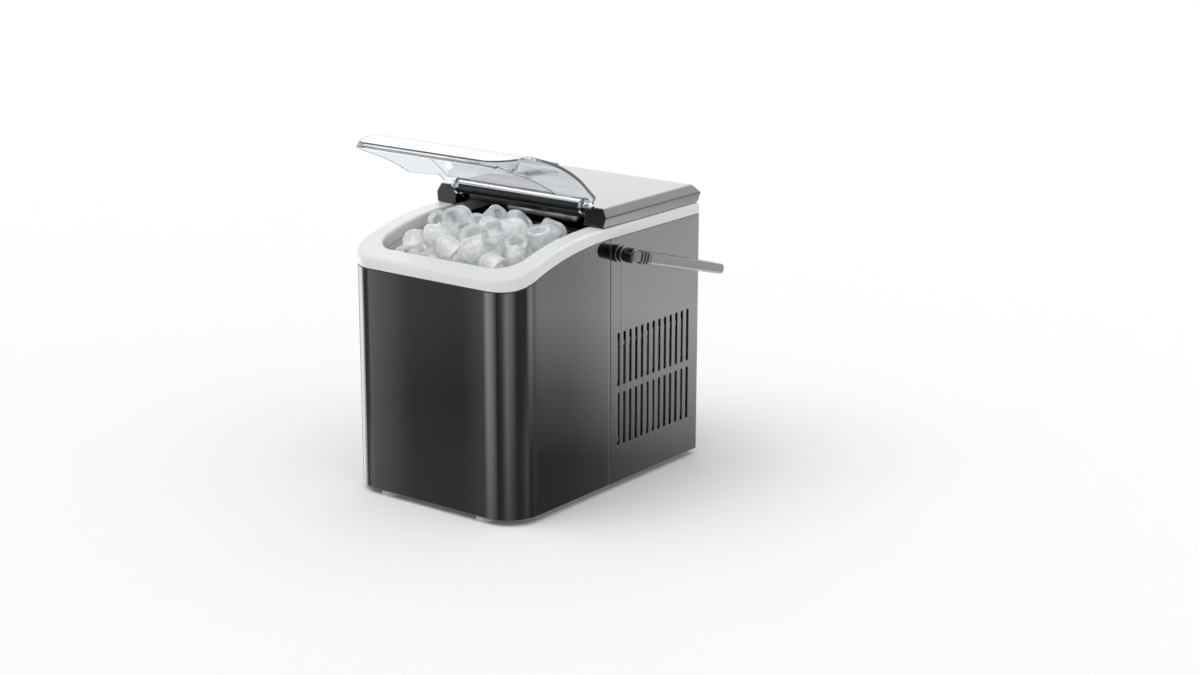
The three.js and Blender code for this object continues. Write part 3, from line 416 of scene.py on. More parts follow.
def add_node(
    tree: bpy.types.NodeTree, kind: str, links: dict | None = None, **settings: object
) -> bpy.types.Node:
    """Adds a node with its settings and links.

    Args:
        tree: The node tree.
        kind: The node's type, as Blender names it.
        links: Input name or number to the output socket that feeds it.
        settings: Attributes of the node, or values of its inputs where it has no such attribute.

    Returns:
        The node.
    """
    node = tree.nodes.new(kind)
    for name, value in settings.items():
        if hasattr(node, name):
            setattr(node, name, value)
    for name, value in settings.items():
        if not hasattr(node, name):
            node.inputs[name.replace("_", " ")].default_value = value
    for name, socket in (links or {}).items():
        tree.links.new(socket, node.inputs[name])
    return node


def remap(
    tree: bpy.types.NodeTree, value: bpy.types.NodeSocket, source: Point, target: Point = (0.0, 1.0)
) -> bpy.types.NodeSocket:
    """Maps a value from one range to another, and holds it at the ends.

    Args:
        tree: The node tree.
        value: The value's socket.
        source: The two ends of its range.
        target: What those ends become.

    Returns:
        The mapped value's socket.
    """
    node = add_node(tree, "ShaderNodeMapRange", {"Value": value})
    for socket, end in zip(node.inputs[1:5], (*source, *target)):
        socket.default_value = end
    return node.outputs[0]


def blend(
    tree: bpy.types.NodeTree,
    factor: bpy.types.NodeSocket,
    low: bpy.types.NodeSocket | Sequence[float],
    high: bpy.types.NodeSocket | Sequence[float],
) -> bpy.types.NodeSocket:
    """Mixes two colours.

    Args:
        tree: The node tree.
        factor: The share of the second colour.
        low: The first colour, as a socket or a linear colour.
        high: The second colour.

    Returns:
        The mixed colour's socket.
    """
    mix = add_node(tree, "ShaderNodeMix", {"Factor": factor}, data_type="RGBA")
    for socket, colour in zip(mix.inputs[6:8], (low, high)):
        if isinstance(colour, bpy.types.NodeSocket):
            tree.links.new(colour, socket)
        else:
            socket.default_value = colour
    return mix.outputs[2]


def fill_ramp(ramp: bpy.types.ColorRamp, stops: Iterable[Point]) -> None:
    """Sets a ramp's stops from places and grey values."""
    while len(ramp.elements) > 1:
        ramp.elements.remove(ramp.elements[-1])
    for i, (at, value) in enumerate(stops):
        stop = ramp.elements[0] if i == 0 else ramp.elements.new(at)
        stop.position = at
        stop.color = (value, value, value, 1.0)


@dataclass(frozen=True)
class Finish:
    """A material and how its surface was made.

    Lengths are in millimetres. mottle is the share by which the colour drifts over mottle_mm, smudge the
    roughness gained in patches of smudge_mm, and grain the height of a surface texture of grain_mm.
    """

    name: str
    slot: str
    colour: str
    roughness: float
    metallic: float = 0.0
    ior: float = 1.5
    specular: float = 0.5
    mottle: float = 0.05
    mottle_mm: float = 35.0
    smudge: float = 0.04
    smudge_mm: float = 18.0
    grain: float = 0.01
    grain_mm: float = 0.8
    # Pale colour laid on sharp edges: partly edge wear, partly painted highlight where edges catch light.
    wear_and_highlight: str | None = None
    wear_and_highlight_mm: float = 0.6
    stretch: tuple[float, float, float] = (1.0, 1.0, 1.0)

    def material(self) -> bpy.types.Material:
        """The material, made the first time it is asked for."""
        made = bpy.data.materials.get(self.name)
        if made is None:
            made = bpy.data.materials.new(self.name)
            made.use_nodes = True
            made.node_tree.nodes.clear()
            self.build(made.node_tree)
        return made

    def place(self, tree: bpy.types.NodeTree) -> bpy.types.NodeSocket:
        """Places on the piece in millimetres, pulled along the way that the surface was worked."""
        at = add_node(tree, "ShaderNodeTexCoord")
        scale = [1 / MM / s for s in self.stretch]
        return add_node(tree, "ShaderNodeMapping", {"Vector": at.outputs["Object"]}, Scale=scale).outputs[0]

    def noise(self, tree: bpy.types.NodeTree, size: float, detail: float) -> bpy.types.NodeSocket:
        """Soft noise whose blotches are about size millimetres across."""
        found = {"Vector": self.place(tree)}
        return add_node(tree, "ShaderNodeTexNoise", found, Scale=1 / size, Detail=detail).outputs[0]

    def tint(self, tree: bpy.types.NodeTree) -> bpy.types.NodeSocket:
        """The base colour: a slow drift in value, and a paler line on sharp edges that is partly wear and
        partly painted highlight.
        """
        base = linear(self.colour)
        low = tuple(c * (1 - self.mottle) for c in base[:3]) + (1.0,)
        high = tuple(min(c * (1 + self.mottle), 1.0) for c in base[:3]) + (1.0,)
        drift = self.noise(tree, self.mottle_mm, 3.0)
        mixed = blend(tree, drift, low, high)
        if self.wear_and_highlight is None:
            return mixed
        # Sharp edges take the pale edge colour: edge wear, plus painted highlight along the edges.
        return blend(tree, self.edge(tree), mixed, linear(self.wear_and_highlight))

    def edge(self, tree: bpy.types.NodeTree) -> bpy.types.NodeSocket:
        """A mask that is 1 on sharp edges, broken up by noise as handling breaks up wear; it places both edge
        wear and painted edge highlight.
        """
        soft = add_node(tree, "ShaderNodeBevel", samples=4, Radius=self.wear_and_highlight_mm * MM)
        flat = add_node(tree, "ShaderNodeNewGeometry")
        likeness = add_node(
            tree,
            "ShaderNodeVectorMath",
            {0: soft.outputs[0], 1: flat.outputs["Normal"]},
            operation="DOT_PRODUCT",
        )
        mask = remap(tree, likeness.outputs["Value"], (0.99, 0.8))
        scuffs = self.noise(tree, 6.0, 4.0)
        return add_node(tree, "ShaderNodeMath", {0: mask, 1: scuffs}, operation="MULTIPLY").outputs[0]

    def sheen_patches(self, tree: bpy.types.NodeTree) -> bpy.types.NodeSocket:
        """Roughness that rises in patches where the surface is handled or dusty."""
        patches = self.noise(tree, self.smudge_mm, 5.0)
        return remap(tree, patches, (0.35, 0.75), (self.roughness, self.roughness + self.smudge))

    def relief(self, tree: bpy.types.NodeTree) -> bpy.types.NodeSocket:
        """The normal, with the fine texture of the mould or tool on it."""
        height = self.noise(tree, self.grain_mm, 2.0)
        bump = add_node(tree, "ShaderNodeBump", {"Height": height}, Strength=1.0, Distance=self.grain * MM)
        return bump.outputs[0]

    def skin(self, tree: bpy.types.NodeTree) -> dict[str, bpy.types.NodeSocket]:
        """What feeds the shader's colour, roughness and normal."""
        tint, sheen = self.tint(tree), self.sheen_patches(tree)
        return {"Base Color": tint, "Roughness": sheen, "Normal": self.relief(tree)}

    def build(self, tree: bpy.types.NodeTree) -> None:
        """Wires the shader.

        Args:
            tree: The material's empty node tree.
        """
        shader = add_node(
            tree,
            "ShaderNodeBsdfPrincipled",
            self.skin(tree),
            Metallic=self.metallic,
            IOR=self.ior,
            Specular_IOR_Level=self.specular,
        )
        add_node(tree, "ShaderNodeOutputMaterial", {"Surface": shader.outputs[0]})


@dataclass(frozen=True)
class ClearFinish(Finish):
    """Polished clear plastic: it bends light, and lets nearly all of it through to what it shades."""

    shade: str = "#f4f7fa"

    def substance(self, tree: bpy.types.NodeTree) -> bpy.types.Node:
        """The shader that bends the light."""
        kind = "ShaderNodeBsdfPrincipled"
        return add_node(tree, kind, self.skin(tree), IOR=self.ior, Transmission_Weight=1.0)

    def build(self, tree: bpy.types.NodeTree) -> None:
        """Wires the shader, with a plain see-through one for shadow rays.

        Args:
            tree: The material's empty node tree.
        """
        shader = self.substance(tree)
        passing = add_node(tree, "ShaderNodeBsdfTransparent", Color=linear(self.shade))
        path = add_node(tree, "ShaderNodeLightPath")
        mix = add_node(
            tree,
            "ShaderNodeMixShader",
            {0: path.outputs["Is Shadow Ray"], 1: shader.outputs[0], 2: passing.outputs[0]},
        )
        add_node(tree, "ShaderNodeOutputMaterial", {"Surface": mix.outputs[0]})


@dataclass(frozen=True)
class IceFinish(ClearFinish):
    """Machine-made ice: a clear skin over a core clouded by trapped air."""

    shade: str = "#f2f3f4"
    clear: float = 0.8
    cloudy: float = 0.55
    cloud_mm: float = 16.0

    def substance(self, tree: bpy.types.NodeTree) -> bpy.types.Node:
        """The shader that bends the light, less of it where the ice is cloudy."""
        cloud = remap(tree, self.noise(tree, self.cloud_mm, 3.0), (0.35, 0.65), (self.clear, self.cloudy))
        links = {**self.skin(tree), "Transmission Weight": cloud}
        return add_node(tree, "ShaderNodeBsdfPrincipled", links, IOR=self.ior)


@dataclass(frozen=True)
class CellFinish(Finish):
    """A surface broken into cells, such as foam beads or copper tracks."""

    cell_mm: float = 3.0
    gap_colour: str = "#d8d6cc"
    gap: float = 0.12

    def tint(self, tree: bpy.types.NodeTree) -> bpy.types.NodeSocket:
        """Cells in the base colour, with the gap colour between them."""
        cells = add_node(
            tree,
            "ShaderNodeTexVoronoi",
            {"Vector": self.place(tree)},
            feature="DISTANCE_TO_EDGE",
            Scale=1 / self.cell_mm,
        )
        mask = remap(tree, cells.outputs[0], (0.0, self.gap))
        return blend(tree, mask, linear(self.gap_colour), super().tint(tree))


# High-gloss ABS off a polished mould: near black, with a mirror-like skin and faint hand smudges.
GLOSS_BLACK = Finish(
    "gloss_black_abs", "gloss_black_plastic", "#070708", 0.025, specular=0.5, grain=0.001, grain_mm=6.0,
    smudge=0.02, smudge_mm=30.0, wear_and_highlight="#5d5d5f", wear_and_highlight_mm=0.5,
)
# The rear shell's ABS is the same black, as a lit copy painted slightly brighter and greyer with more
# specular for the brighter reflection it catches; its pale edge colour is mostly painted highlight along the
# vent slots, with some edge wear.
REAR_BLACK_LIT = Finish(
    "gloss_black_abs_rear_lit", "gloss_black_plastic", "#0b0b0c", 0.03, specular=0.6, grain=0.001,
    grain_mm=6.0, smudge=0.02, smudge_mm=30.0, wear_and_highlight="#a0a0a2", wear_and_highlight_mm=0.7,
)
# Spark-eroded ABS: a satin black that spreads its highlights.
SATIN_BLACK = Finish(
    "satin_black_abs", "satin_black_plastic", "#141415", 0.3, specular=0.35, grain=0.012, grain_mm=0.5,
    wear_and_highlight="#4c4c4e", wear_and_highlight_mm=0.4,
)
# Polished nylon of the handle's knuckles: black with a sharp line of light on each ring.
KNUCKLE_BLACK = Finish(
    "polished_black_nylon", "satin_black_plastic", "#0d0d0e", 0.14, specular=0.5, grain=0.004,
    grain_mm=0.6, wear_and_highlight="#4c4c4e", wear_and_highlight_mm=0.3,
)
# Semi-gloss white ABS with a soft skin.
WHITE_ABS = Finish(
    "white_abs", "white_plastic", "#d6d6d5", 0.32, specular=0.35, mottle=0.012, smudge=0.08,
    grain=0.006, grain_mm=0.7,
)
# Natural polypropylene: a paler, waxy grey inside the bin.
BIN_PLASTIC = Finish(
    "grey_polypropylene", "bin_plastic", "#d4d5d6", 0.42, specular=0.35, mottle=0.02, grain=0.01,
    grain_mm=0.9,
)
# Clear styrene acrylonitrile: bright and faintly blue at its edges.
CLEAR_SAN = ClearFinish(
    "clear_san", "clear_plastic", "#f1f4f8", 0.015, ior=1.5, mottle=0.01, smudge=0.03, grain=0.0005,
    grain_mm=9.0,
)
# Satin grey ABS of the handle's arms, a little metallic in its pigment; its pale edge colour is partly wear
# and partly painted highlight along the edges of the arms and grip.
GREY_ABS = Finish(
    "grey_abs", "grey_plastic", "#595a5c", 0.24, metallic=0.1, mottle=0.03, grain=0.006, grain_mm=0.5,
    wear_and_highlight="#c8cacb", wear_and_highlight_mm=0.5,
)
# Soft elastomer feet, clouded and matt.
CLEAR_RUBBER = Finish("clouded_elastomer", "frosted_rubber", "#b9bcbe", 0.55, grain=0.02, grain_mm=1.0)
# Nitrile rubber of the compressor's mounts and the drain plug, with a powdery bloom.
BLACK_RUBBER = Finish("black_rubber", "black_rubber", "#222223", 0.75, grain=0.03, grain_mm=1.2)
# Ice frozen from the fingers outwards: hard, wet-looking and cloudy in its middle.
ICE = IceFinish(
    "hollow_ice", "clear_plastic", "#f5f5f4", 0.06, ior=1.31, mottle=0.01, smudge=0.06, smudge_mm=9.0,
    grain=0.03, grain_mm=2.5,
)
# Diffusing styrene of the indicator lenses.
LENS = Finish("diffusing_styrene", "lens_plastic", "#d9e6ee", 0.22, grain=0.004, grain_mm=0.4)
# Black enamel sprayed on the compressor's pressed steel can, with orange peel.
ENAMEL = Finish(
    "black_enamel", "black_enamelled_steel", "#1f1f20", 0.24, grain=0.03, grain_mm=2.2, wear_and_highlight="#77787a",
)
# Bead-foam insulation, with the outline of each bead.
FOAM = CellFinish("bead_foam", "white_foam", "#f2f1ec", 0.85, grain=0.08, grain_mm=2.0, cell_mm=3.2)
# Drawn copper, darkened by handling and brazing heat.
COPPER = Finish(
    "drawn_copper", "copper_pipe", "#c27b4c", 0.26, metallic=1.0, mottle=0.18, mottle_mm=22.0,
    smudge=0.2, grain=0.006, grain_mm=1.5,
)
# Zinc plate over steel: a cold grey with a cloudy passivated bloom.
ZINC = Finish(
    "zinc_plate", "zinc_plated_steel", "#bcc0c4", 0.28, metallic=1.0, mottle=0.1, mottle_mm=9.0,
    smudge=0.18, grain=0.004, grain_mm=1.0,
)
# Nickel plate over the copper fingers: warm white, nearly mirror bright, with frost bloom.
NICKEL = Finish(
    "nickel_plate", "nickel_plate", "#cfcec8", 0.14, metallic=1.0, mottle=0.08, mottle_mm=12.0,
    smudge=0.2, smudge_mm=7.0, grain=0.004, grain_mm=0.9,
)
# Rolled aluminium fins: fine lines that run up with the rolling.
FINS = Finish(
    "rolled_aluminium", "aluminium_fins", "#b0b4b7", 0.34, metallic=0.95, mottle=0.1, grain=0.02,
    grain_mm=0.7, stretch=(1.0, 1.0, 14.0),
)
# Green solder mask with the faint pattern of its tracks.
BOARD = CellFinish(
    "solder_mask", "circuit_board", "#1f5a35", 0.35, cell_mm=4.0, gap_colour="#2f7a4b", gap=0.08,
)
# Extruded silicone hose, milky and slightly tacky.
SILICONE = Finish("silicone_hose", "silicone_hose", "#dfe3e4", 0.45, grain=0.01, grain_mm=1.0)


# ---- Placing pieces --------------------------------------------------------------------------


def own(piece: bpy.types.Object, body: str, finish: Finish, replaces: Sequence[str]) -> bpy.types.Object:
    """Dresses a piece and ties it to the frame.

    Args:
        piece: The object, in metres and in place.
        body: The body that it rides on.
        finish: Its finish.
        replaces: The CAD nodes that it stands for.

    Returns:
        The same object.
    """
    piece.data.materials.clear()
    piece.data.materials.append(finish.material())
    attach(piece, body)
    if replaces:
        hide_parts(*replaces)
    LOG.info("%s rides on %s in %s", piece.name, body, finish.name)
    return piece


def place(
    solid: Solid,
    node: str,
    body: str,
    finish: Finish,
    edge: float = 0.4,
    rounds: int = 2,
    name: str | None = None,
    replaces: bool = True,
) -> bpy.types.Object:
    """Makes a solid into a visible piece with softened edges.

    Args:
        solid: Its shape in millimetres.
        node: The CAD node that it stands for.
        body: The body that it rides on.
        finish: Its finish.
        edge: Width of the softened edges, or 0 for none.
        rounds: Facets across each softened edge.
        name: The piece's name, or None to name it after the node.
        replaces: Hides the CAD node.

    Returns:
        The object.
    """
    mesh = solid.mesh.copy()
    mesh.transform(Matrix.Scale(MM, 4))
    mesh.shade_smooth()
    piece = bpy.data.objects.new(name or f"finished_{node}", mesh)
    bpy.context.scene.collection.objects.link(piece)
    if edge:
        soften = piece.modifiers.new("soften", "BEVEL")
        soften.width = edge * MM
        soften.segments = rounds
        soften.limit_method = "ANGLE"
        soften.angle_limit = math.radians(SOFT_ANGLE)
        soften.use_clamp_overlap = False
        soften.miter_outer = "MITER_ARC"
    level = piece.modifiers.new("level", "WEIGHTED_NORMAL")
    level.weight = 100
    level.keep_sharp = True
    return own(piece, body, finish, [node] if replaces else [])


# ---- The machine's shared lines --------------------------------------------------------------


@dataclass(frozen=True)
class Box:
    """A CAD node's box in millimetres."""

    low: Vector
    high: Vector

    @staticmethod
    def of(node: str) -> Box:
        """The box of a node at rest."""
        low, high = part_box(node)
        return Box(low / MM, high / MM)

    @property
    def middle(self) -> Vector:
        """The middle of the box."""
        return (self.low + self.high) / 2


@dataclass
class Lines:
    """The faces and curves that several pieces share."""

    wall: float = 2.4
    fit: float = 0.4
    front_corner: float = 37.0
    rear_corner: float = 4.0
    mouth_corner: float = 25.0
    rear_mouth_corner: float = 5.0
    sweep_drop: float = 28.0
    sweep_ends: Point = (4.0, 146.0)
    sweep_pull: Point = (28.0, 51.0)
    sweep_ease: float = 3.5
    band_lead: float = 8.0
    front: Box = field(default_factory=lambda: Box.of("front_shell"))
    rear: Box = field(default_factory=lambda: Box.of("rear_shell"))
    rim: Box = field(default_factory=lambda: Box.of("rim"))
    bin: Box = field(default_factory=lambda: Box.of("bin_liner"))
    cover: Box = field(default_factory=lambda: Box.of("top_cover"))
    beam: Box = field(default_factory=lambda: Box.of("hinge_beam"))

    @property
    def half(self) -> float:
        """Half the body's width."""
        return self.front.high.x

    @property
    def front_y(self) -> float:
        """The body's front face."""
        return self.front.low.y

    @property
    def rear_y(self) -> float:
        """The body's rear face."""
        return self.rear.high.y

    @property
    def body_top(self) -> float:
        """The top of the rear shell."""
        return self.rear.high.z

    @property
    def rim_top(self) -> float:
        """The top of the rim behind its sweep."""
        return self.rim.high.z

    @property
    def mouth_half(self) -> float:
        """Half the width of the bin's mouth."""
        return self.bin.high.x - self.wall

    @property
    def mouth_front(self) -> float:
        """The front of the bin's mouth."""
        return self.bin.low.y + self.wall

    @property
    def mouth_rear(self) -> float:
        """The rear of the chamber behind the bin."""
        return self.bin.high.y - self.wall

    def sweep(self, y: float, top: float, lead: float = 0.0) -> float:
        """Height of the swept top edge.

        Args:
            y: Place from front to rear.
            top: Height behind the sweep.
            lead: How far the sweep is moved forwards.

        Returns:
            The height there.
        """
        line = self.sweep_line(top, lead)
        return float(np.interp(y, [p[0] for p in line], [p[1] for p in line]))

    def sweep_line(self, top: float, lead: float = 0.0, steps: int = 40) -> list[Point]:
        """The sweep as (y, z) points from front to rear."""
        start, end = (self.front_y + d - lead for d in self.sweep_ends)
        pull, ease = (self.front_y + d - lead for d in self.sweep_pull)
        low = top - self.sweep_drop
        return bezier([(start, low), (pull, low), (ease, top - self.sweep_ease), (end, top)], steps)

    def under_sweep(self, top: float, lead: float = 0.0) -> Solid:
        """Everything below the swept edge."""
        wide, before, behind = self.half + 9, self.front_y - 60, self.rear_y + 60
        points = [
            (before, -1.0),
            (behind, -1.0),
            (behind, top),
            *reversed(self.sweep_line(top, lead)),
            (before, top - self.sweep_drop),
        ]
        return Solid.extrude(points, -wide, wide, Axis.X)

    def plan(self, inset: float, steps: int = 20) -> list[Point]:
        """The body's outline from above, moved inwards, with points all along its sides."""
        corner = max(self.rear_corner - inset, 1.0)
        outline = rounded(
            -self.half + inset,
            self.front_y + inset,
            self.half - inset,
            self.rear_y - inset,
            self.front_corner - inset,
            corner,
            steps,
        )
        return self.along_sides(outline, steps)

    def mouth(self, grow: float, steps: int = 20) -> list[Point]:
        """The bin mouth's outline from above, moved outwards, matched point for point to the plan."""
        outline = rounded(
            -self.mouth_half - grow,
            self.mouth_front - grow,
            self.mouth_half + grow,
            self.mouth_rear + grow,
            self.mouth_corner + grow,
            self.rear_mouth_corner + grow,
            steps,
        )
        return self.along_sides(outline, steps)

    @staticmethod
    def along_sides(outline: list[Point], steps: int, parts: int = 48) -> list[Point]:
        """Adds points along a rounded rectangle's two long sides, so that its edge can follow the sweep.

        Args:
            outline: The rounded rectangle.
            steps: Chords in each of its corners.
            parts: Parts that each side is cut into.

        Returns:
            The finer outline.
        """
        made = []
        for i, here in enumerate(outline):
            made.append(here)
            if i in (steps, 3 * steps + 2):
                there = outline[i + 1]
                made += [
                    tuple(a + (b - a) * k / parts for a, b in zip(here, there)) for k in range(1, parts)
                ]
        return made


# ---- Housing ---------------------------------------------------------------------------------


@dataclass
class Vents:
    """The rows of air slots in the rear shell."""

    count: int = 13
    rear_count: int = 9
    pitch: float = 10.14
    width: float = 4.0
    start: float = 13.75
    rows: tuple[Point, Point] = ((45.0, 102.5), (109.0, 166.0))

    def cutters(self, lines: Lines) -> list[Solid]:
        """Solids that cut the slots.

        Args:
            lines: The machine's shared lines.

        Returns:
            One solid for the side slots and one for the rear slots.
        """
        first = lines.rear.low.y + self.start
        sides = []
        for low, high in self.rows:
            for i in range(self.count):
                outline = slot_outline(first + i * self.pitch, low, high, self.width)
                sides.append(Solid.extrude(outline, -lines.half - 2, lines.half + 2, Axis.X))
        low, high = self.rows[1]
        rear = []
        for i in range(self.rear_count):
            middle = (i - (self.rear_count - 1) / 2) * self.pitch
            outline = slot_outline(middle, low, high, self.width)
            rear.append(Solid.extrude(outline, lines.rear_y - 6, lines.rear_y + 2, Axis.Y))
        return [Solid.group(sides), Solid.group(rear)]


@dataclass
class Housing:
    """The two shells of the body, with the screws, pan and feet that hold them together."""

    lines: Lines
    vents: Vents = field(default_factory=Vents)
    foot_radius: float = 9.0
    foot_neck: float = 3.0
    drain_hole: float = 8.4
    pivot_hole: float = 4.4
    screw_hole: float = 2.1
    inlet_margin: Point = (4.6, 2.6)
    screw_head: float = 3.5
    screw_shank: float = 1.7
    recess: Point = (2.2, 0.4)
    pan_floor: float = 3.0
    rib_count: int = 9
    rib_pitch: float = 22.0

    def build(self) -> None:
        """Makes and dresses every piece."""
        lines = self.lines
        walls = self.walls()
        wide = lines.half + 5
        front = walls.keep(Solid.box((-wide, lines.front_y - 5, 0), (wide, lines.front.high.y, SKY)))
        drain, side = Box.of("drain_spout").middle, -lines.half
        hole = Solid.rod(self.drain_hole, side - 5, side + 9, (0, drain.y, drain.z), Axis.X)
        front = front.cut(hole)
        place(front, "front_shell", "body", GLOSS_BLACK, edge=0.6, rounds=3)
        rear = walls.keep(Solid.box((-wide, lines.rear.low.y, 0), (wide, lines.rear_y + 5, SKY)))
        rear = rear.cut(*self.vents.cutters(lines), *self.rear_holes())
        # The rear shell takes the lit copy of the gloss black, painted brighter for the reflection it
        # catches, with painted highlight on its edges.
        place(rear, "rear_shell", "body", REAR_BLACK_LIT, edge=0.45, rounds=2)
        self.screws()
        self.feet()
        self.pan()

    def walls(self) -> Solid:
        """The body's wall all round, from its foot to the swept edge."""
        lines = self.lines
        rings = []
        for inset, rise in ((0.0, 0.0), (0.0, 1.0), (lines.wall, 1.0), (lines.wall, 0.0)):
            outline = lines.plan(inset)
            if rise:
                rings.append([(x, y, lines.sweep(y, lines.body_top)) for x, y in outline])
            else:
                rings.append([(x, y, lines.front.low.z) for x, y in outline])
        return Solid.loft(rings, loop=True)

    def rear_holes(self) -> list[Solid]:
        """Holes for the handle's pivots, the screws and the power inlet."""
        pivot, reach = Box.of("handle_pivot_left").middle, self.lines.half + 3
        made = [Solid.rod(self.pivot_hole, -reach, reach, (0, pivot.y, pivot.z), Axis.X)]
        near, far = self.lines.rear_y - 5, self.lines.rear_y + 3
        for node in REAR_SCREWS:
            middle = Box.of(node).middle
            made.append(Solid.rod(self.screw_hole, near, far, (middle.x, 0, middle.z), Axis.Y))
        inlet, (across, up) = Box.of("power_inlet"), self.inlet_margin
        low = (inlet.low.x + across, near, inlet.low.z + up)
        made.append(Solid.box(low, (inlet.high.x - across, far, inlet.high.z - up)))
        return made

    def screws(self) -> None:
        """Two pan-head screws with cross recesses."""
        shank, rise, depth = self.screw_shank, 2.0, 1.3
        for node in REAR_SCREWS:
            box = Box.of(node)
            face, x, z = box.high.y, box.middle.x, box.middle.z
            dome = [(self.screw_head * b / rise, face - rise + a) for a, b in arc((0, 0), rise, 0, 90, 6)]
            profile = [*dome, (shank, face - rise), (shank, box.low.y), (0, box.low.y)]
            screw = Solid.turned(profile, (x, 0, z), Axis.Y, 24)
            for across, up in (self.recess, self.recess[::-1]):
                low, high = (x - across, face - depth, z - up), (x + across, face + 1, z + up)
                screw = screw.cut(Solid.box(low, high))
            place(screw, node, "body", ZINC, edge=0.12)

    def feet(self) -> None:
        """Four stepped feet that snap into the pan."""
        neck = self.foot_neck
        for node in FEET:
            box = Box.of(node)
            r, seat = self.foot_radius, self.lines.front.low.z - self.lines.fit
            profile = [
                (0, 0.5),
                (r - 3.4, 0.5),
                *arc((r - 2.2, 0.9), 0.9, 180, 270, 3),
                *arc((r - 1.4, 1.4), 1.4, 270, 360, 5),
                (r - 0.6, seat - 1.4),
                *arc((r - 1.2, seat - 0.8), 0.8, 0, 90, 4),
                (neck, seat),
                (neck, box.high.z - 1),
                (neck - 0.6, box.high.z),
                (0, box.high.z),
            ]
            foot = Solid.turned(profile, (box.middle.x, box.middle.y, 0), Axis.Z, 40)
            place(foot, node, "body", CLEAR_RUBBER, edge=0.25)

    def pan(self) -> None:
        """The base pan, with a lip that stiffens it and pressed ribs under it."""
        lines, box = self.lines, Box.of("base_pan")
        skin, floor = lines.wall + lines.fit, box.low.z + self.pan_floor
        shape = Solid.extrude(lines.plan(skin), box.low.z, box.high.z)
        shape = shape.cut(Solid.extrude(lines.plan(skin + lines.wall), floor, box.high.z + 1))
        holes = []
        for node in FEET:
            middle = Box.of(node).middle
            holes.append(Solid.rod(self.foot_neck + lines.fit, 0, floor + 1, (middle.x, middle.y, 0)))
        ribs = []
        for i in range(self.rib_count):
            y = box.middle.y + (i - self.rib_count // 2) * self.rib_pitch
            outline = [(a, b + y) for a, b in rounded(-60, -3, 60, 3, 3, steps=6)]
            ribs.append(Solid.extrude(outline, box.low.z - 1, box.low.z + 0.9))
        place(shape.cut(Solid.group(holes), Solid.group(ribs)), "base_pan", "body", SATIN_BLACK, edge=0.4)


@dataclass
class Rim:
    """The white rim: a rounded band round the top of the body, and a flange in to the bin's mouth."""

    lines: Lines
    shoulder: float = 4.5
    lip: float = 3.0
    arc_steps: int = 6

    def build(self) -> None:
        """Makes and dresses the rim."""
        lines = self.lines
        low = lines.body_top + lines.fit
        top, lead = lines.rim_top, lines.band_lead
        body, mouth = lines.plan, lines.mouth
        section = [(body(0.5), low, 0.0, 0.0), (body(0.0), low, 0.5, 0.0)]
        for k in range(self.arc_steps + 1):
            a = math.pi / 2 * k / self.arc_steps
            inset = self.shoulder * (1 - math.cos(a))
            section.append((body(inset), top, self.shoulder * (math.sin(a) - 1), lead))
        section.append((mouth(self.lip + 6), top, 0.0, lead))
        for k in range(self.arc_steps + 1):
            a = math.pi / 2 * k / self.arc_steps
            grow = self.lip * (1 - math.sin(a))
            section.append((mouth(grow), top, self.lip * (math.cos(a) - 1), lead))
        section += [
            (mouth(0.0), low, 0.4, 0.0),
            (mouth(0.4), low, 0.0, 0.0),
            (mouth(lines.wall), low, 0.0, 0.0),
            (mouth(lines.wall), top, -self.shoulder - 0.4, lead),
            (body(lines.wall + 1), top, -self.shoulder - 0.4, lead),
            (body(lines.wall), low, 0.0, 0.0),
        ]
        rings = [
            [(x, y, lines.sweep(y, height, shift) + rise) for x, y in outline]
            for outline, height, rise, shift in section
        ]
        rim = Solid.loft(rings, loop=True)
        pipes = Box.of("liquid_line"), Box.of("suction_line")
        left = min(b.low.x for b in pipes) - 4
        right = max(b.high.x for b in pipes) + 4
        passage = Solid.box((left, lines.mouth_rear + 14, low - 1), (right, lines.mouth_rear + 38, top + 1))
        place(rim.cut(passage), "rim", "body", WHITE_ABS, edge=0.0)


# ---- Bin, basket and ice ---------------------------------------------------------------------


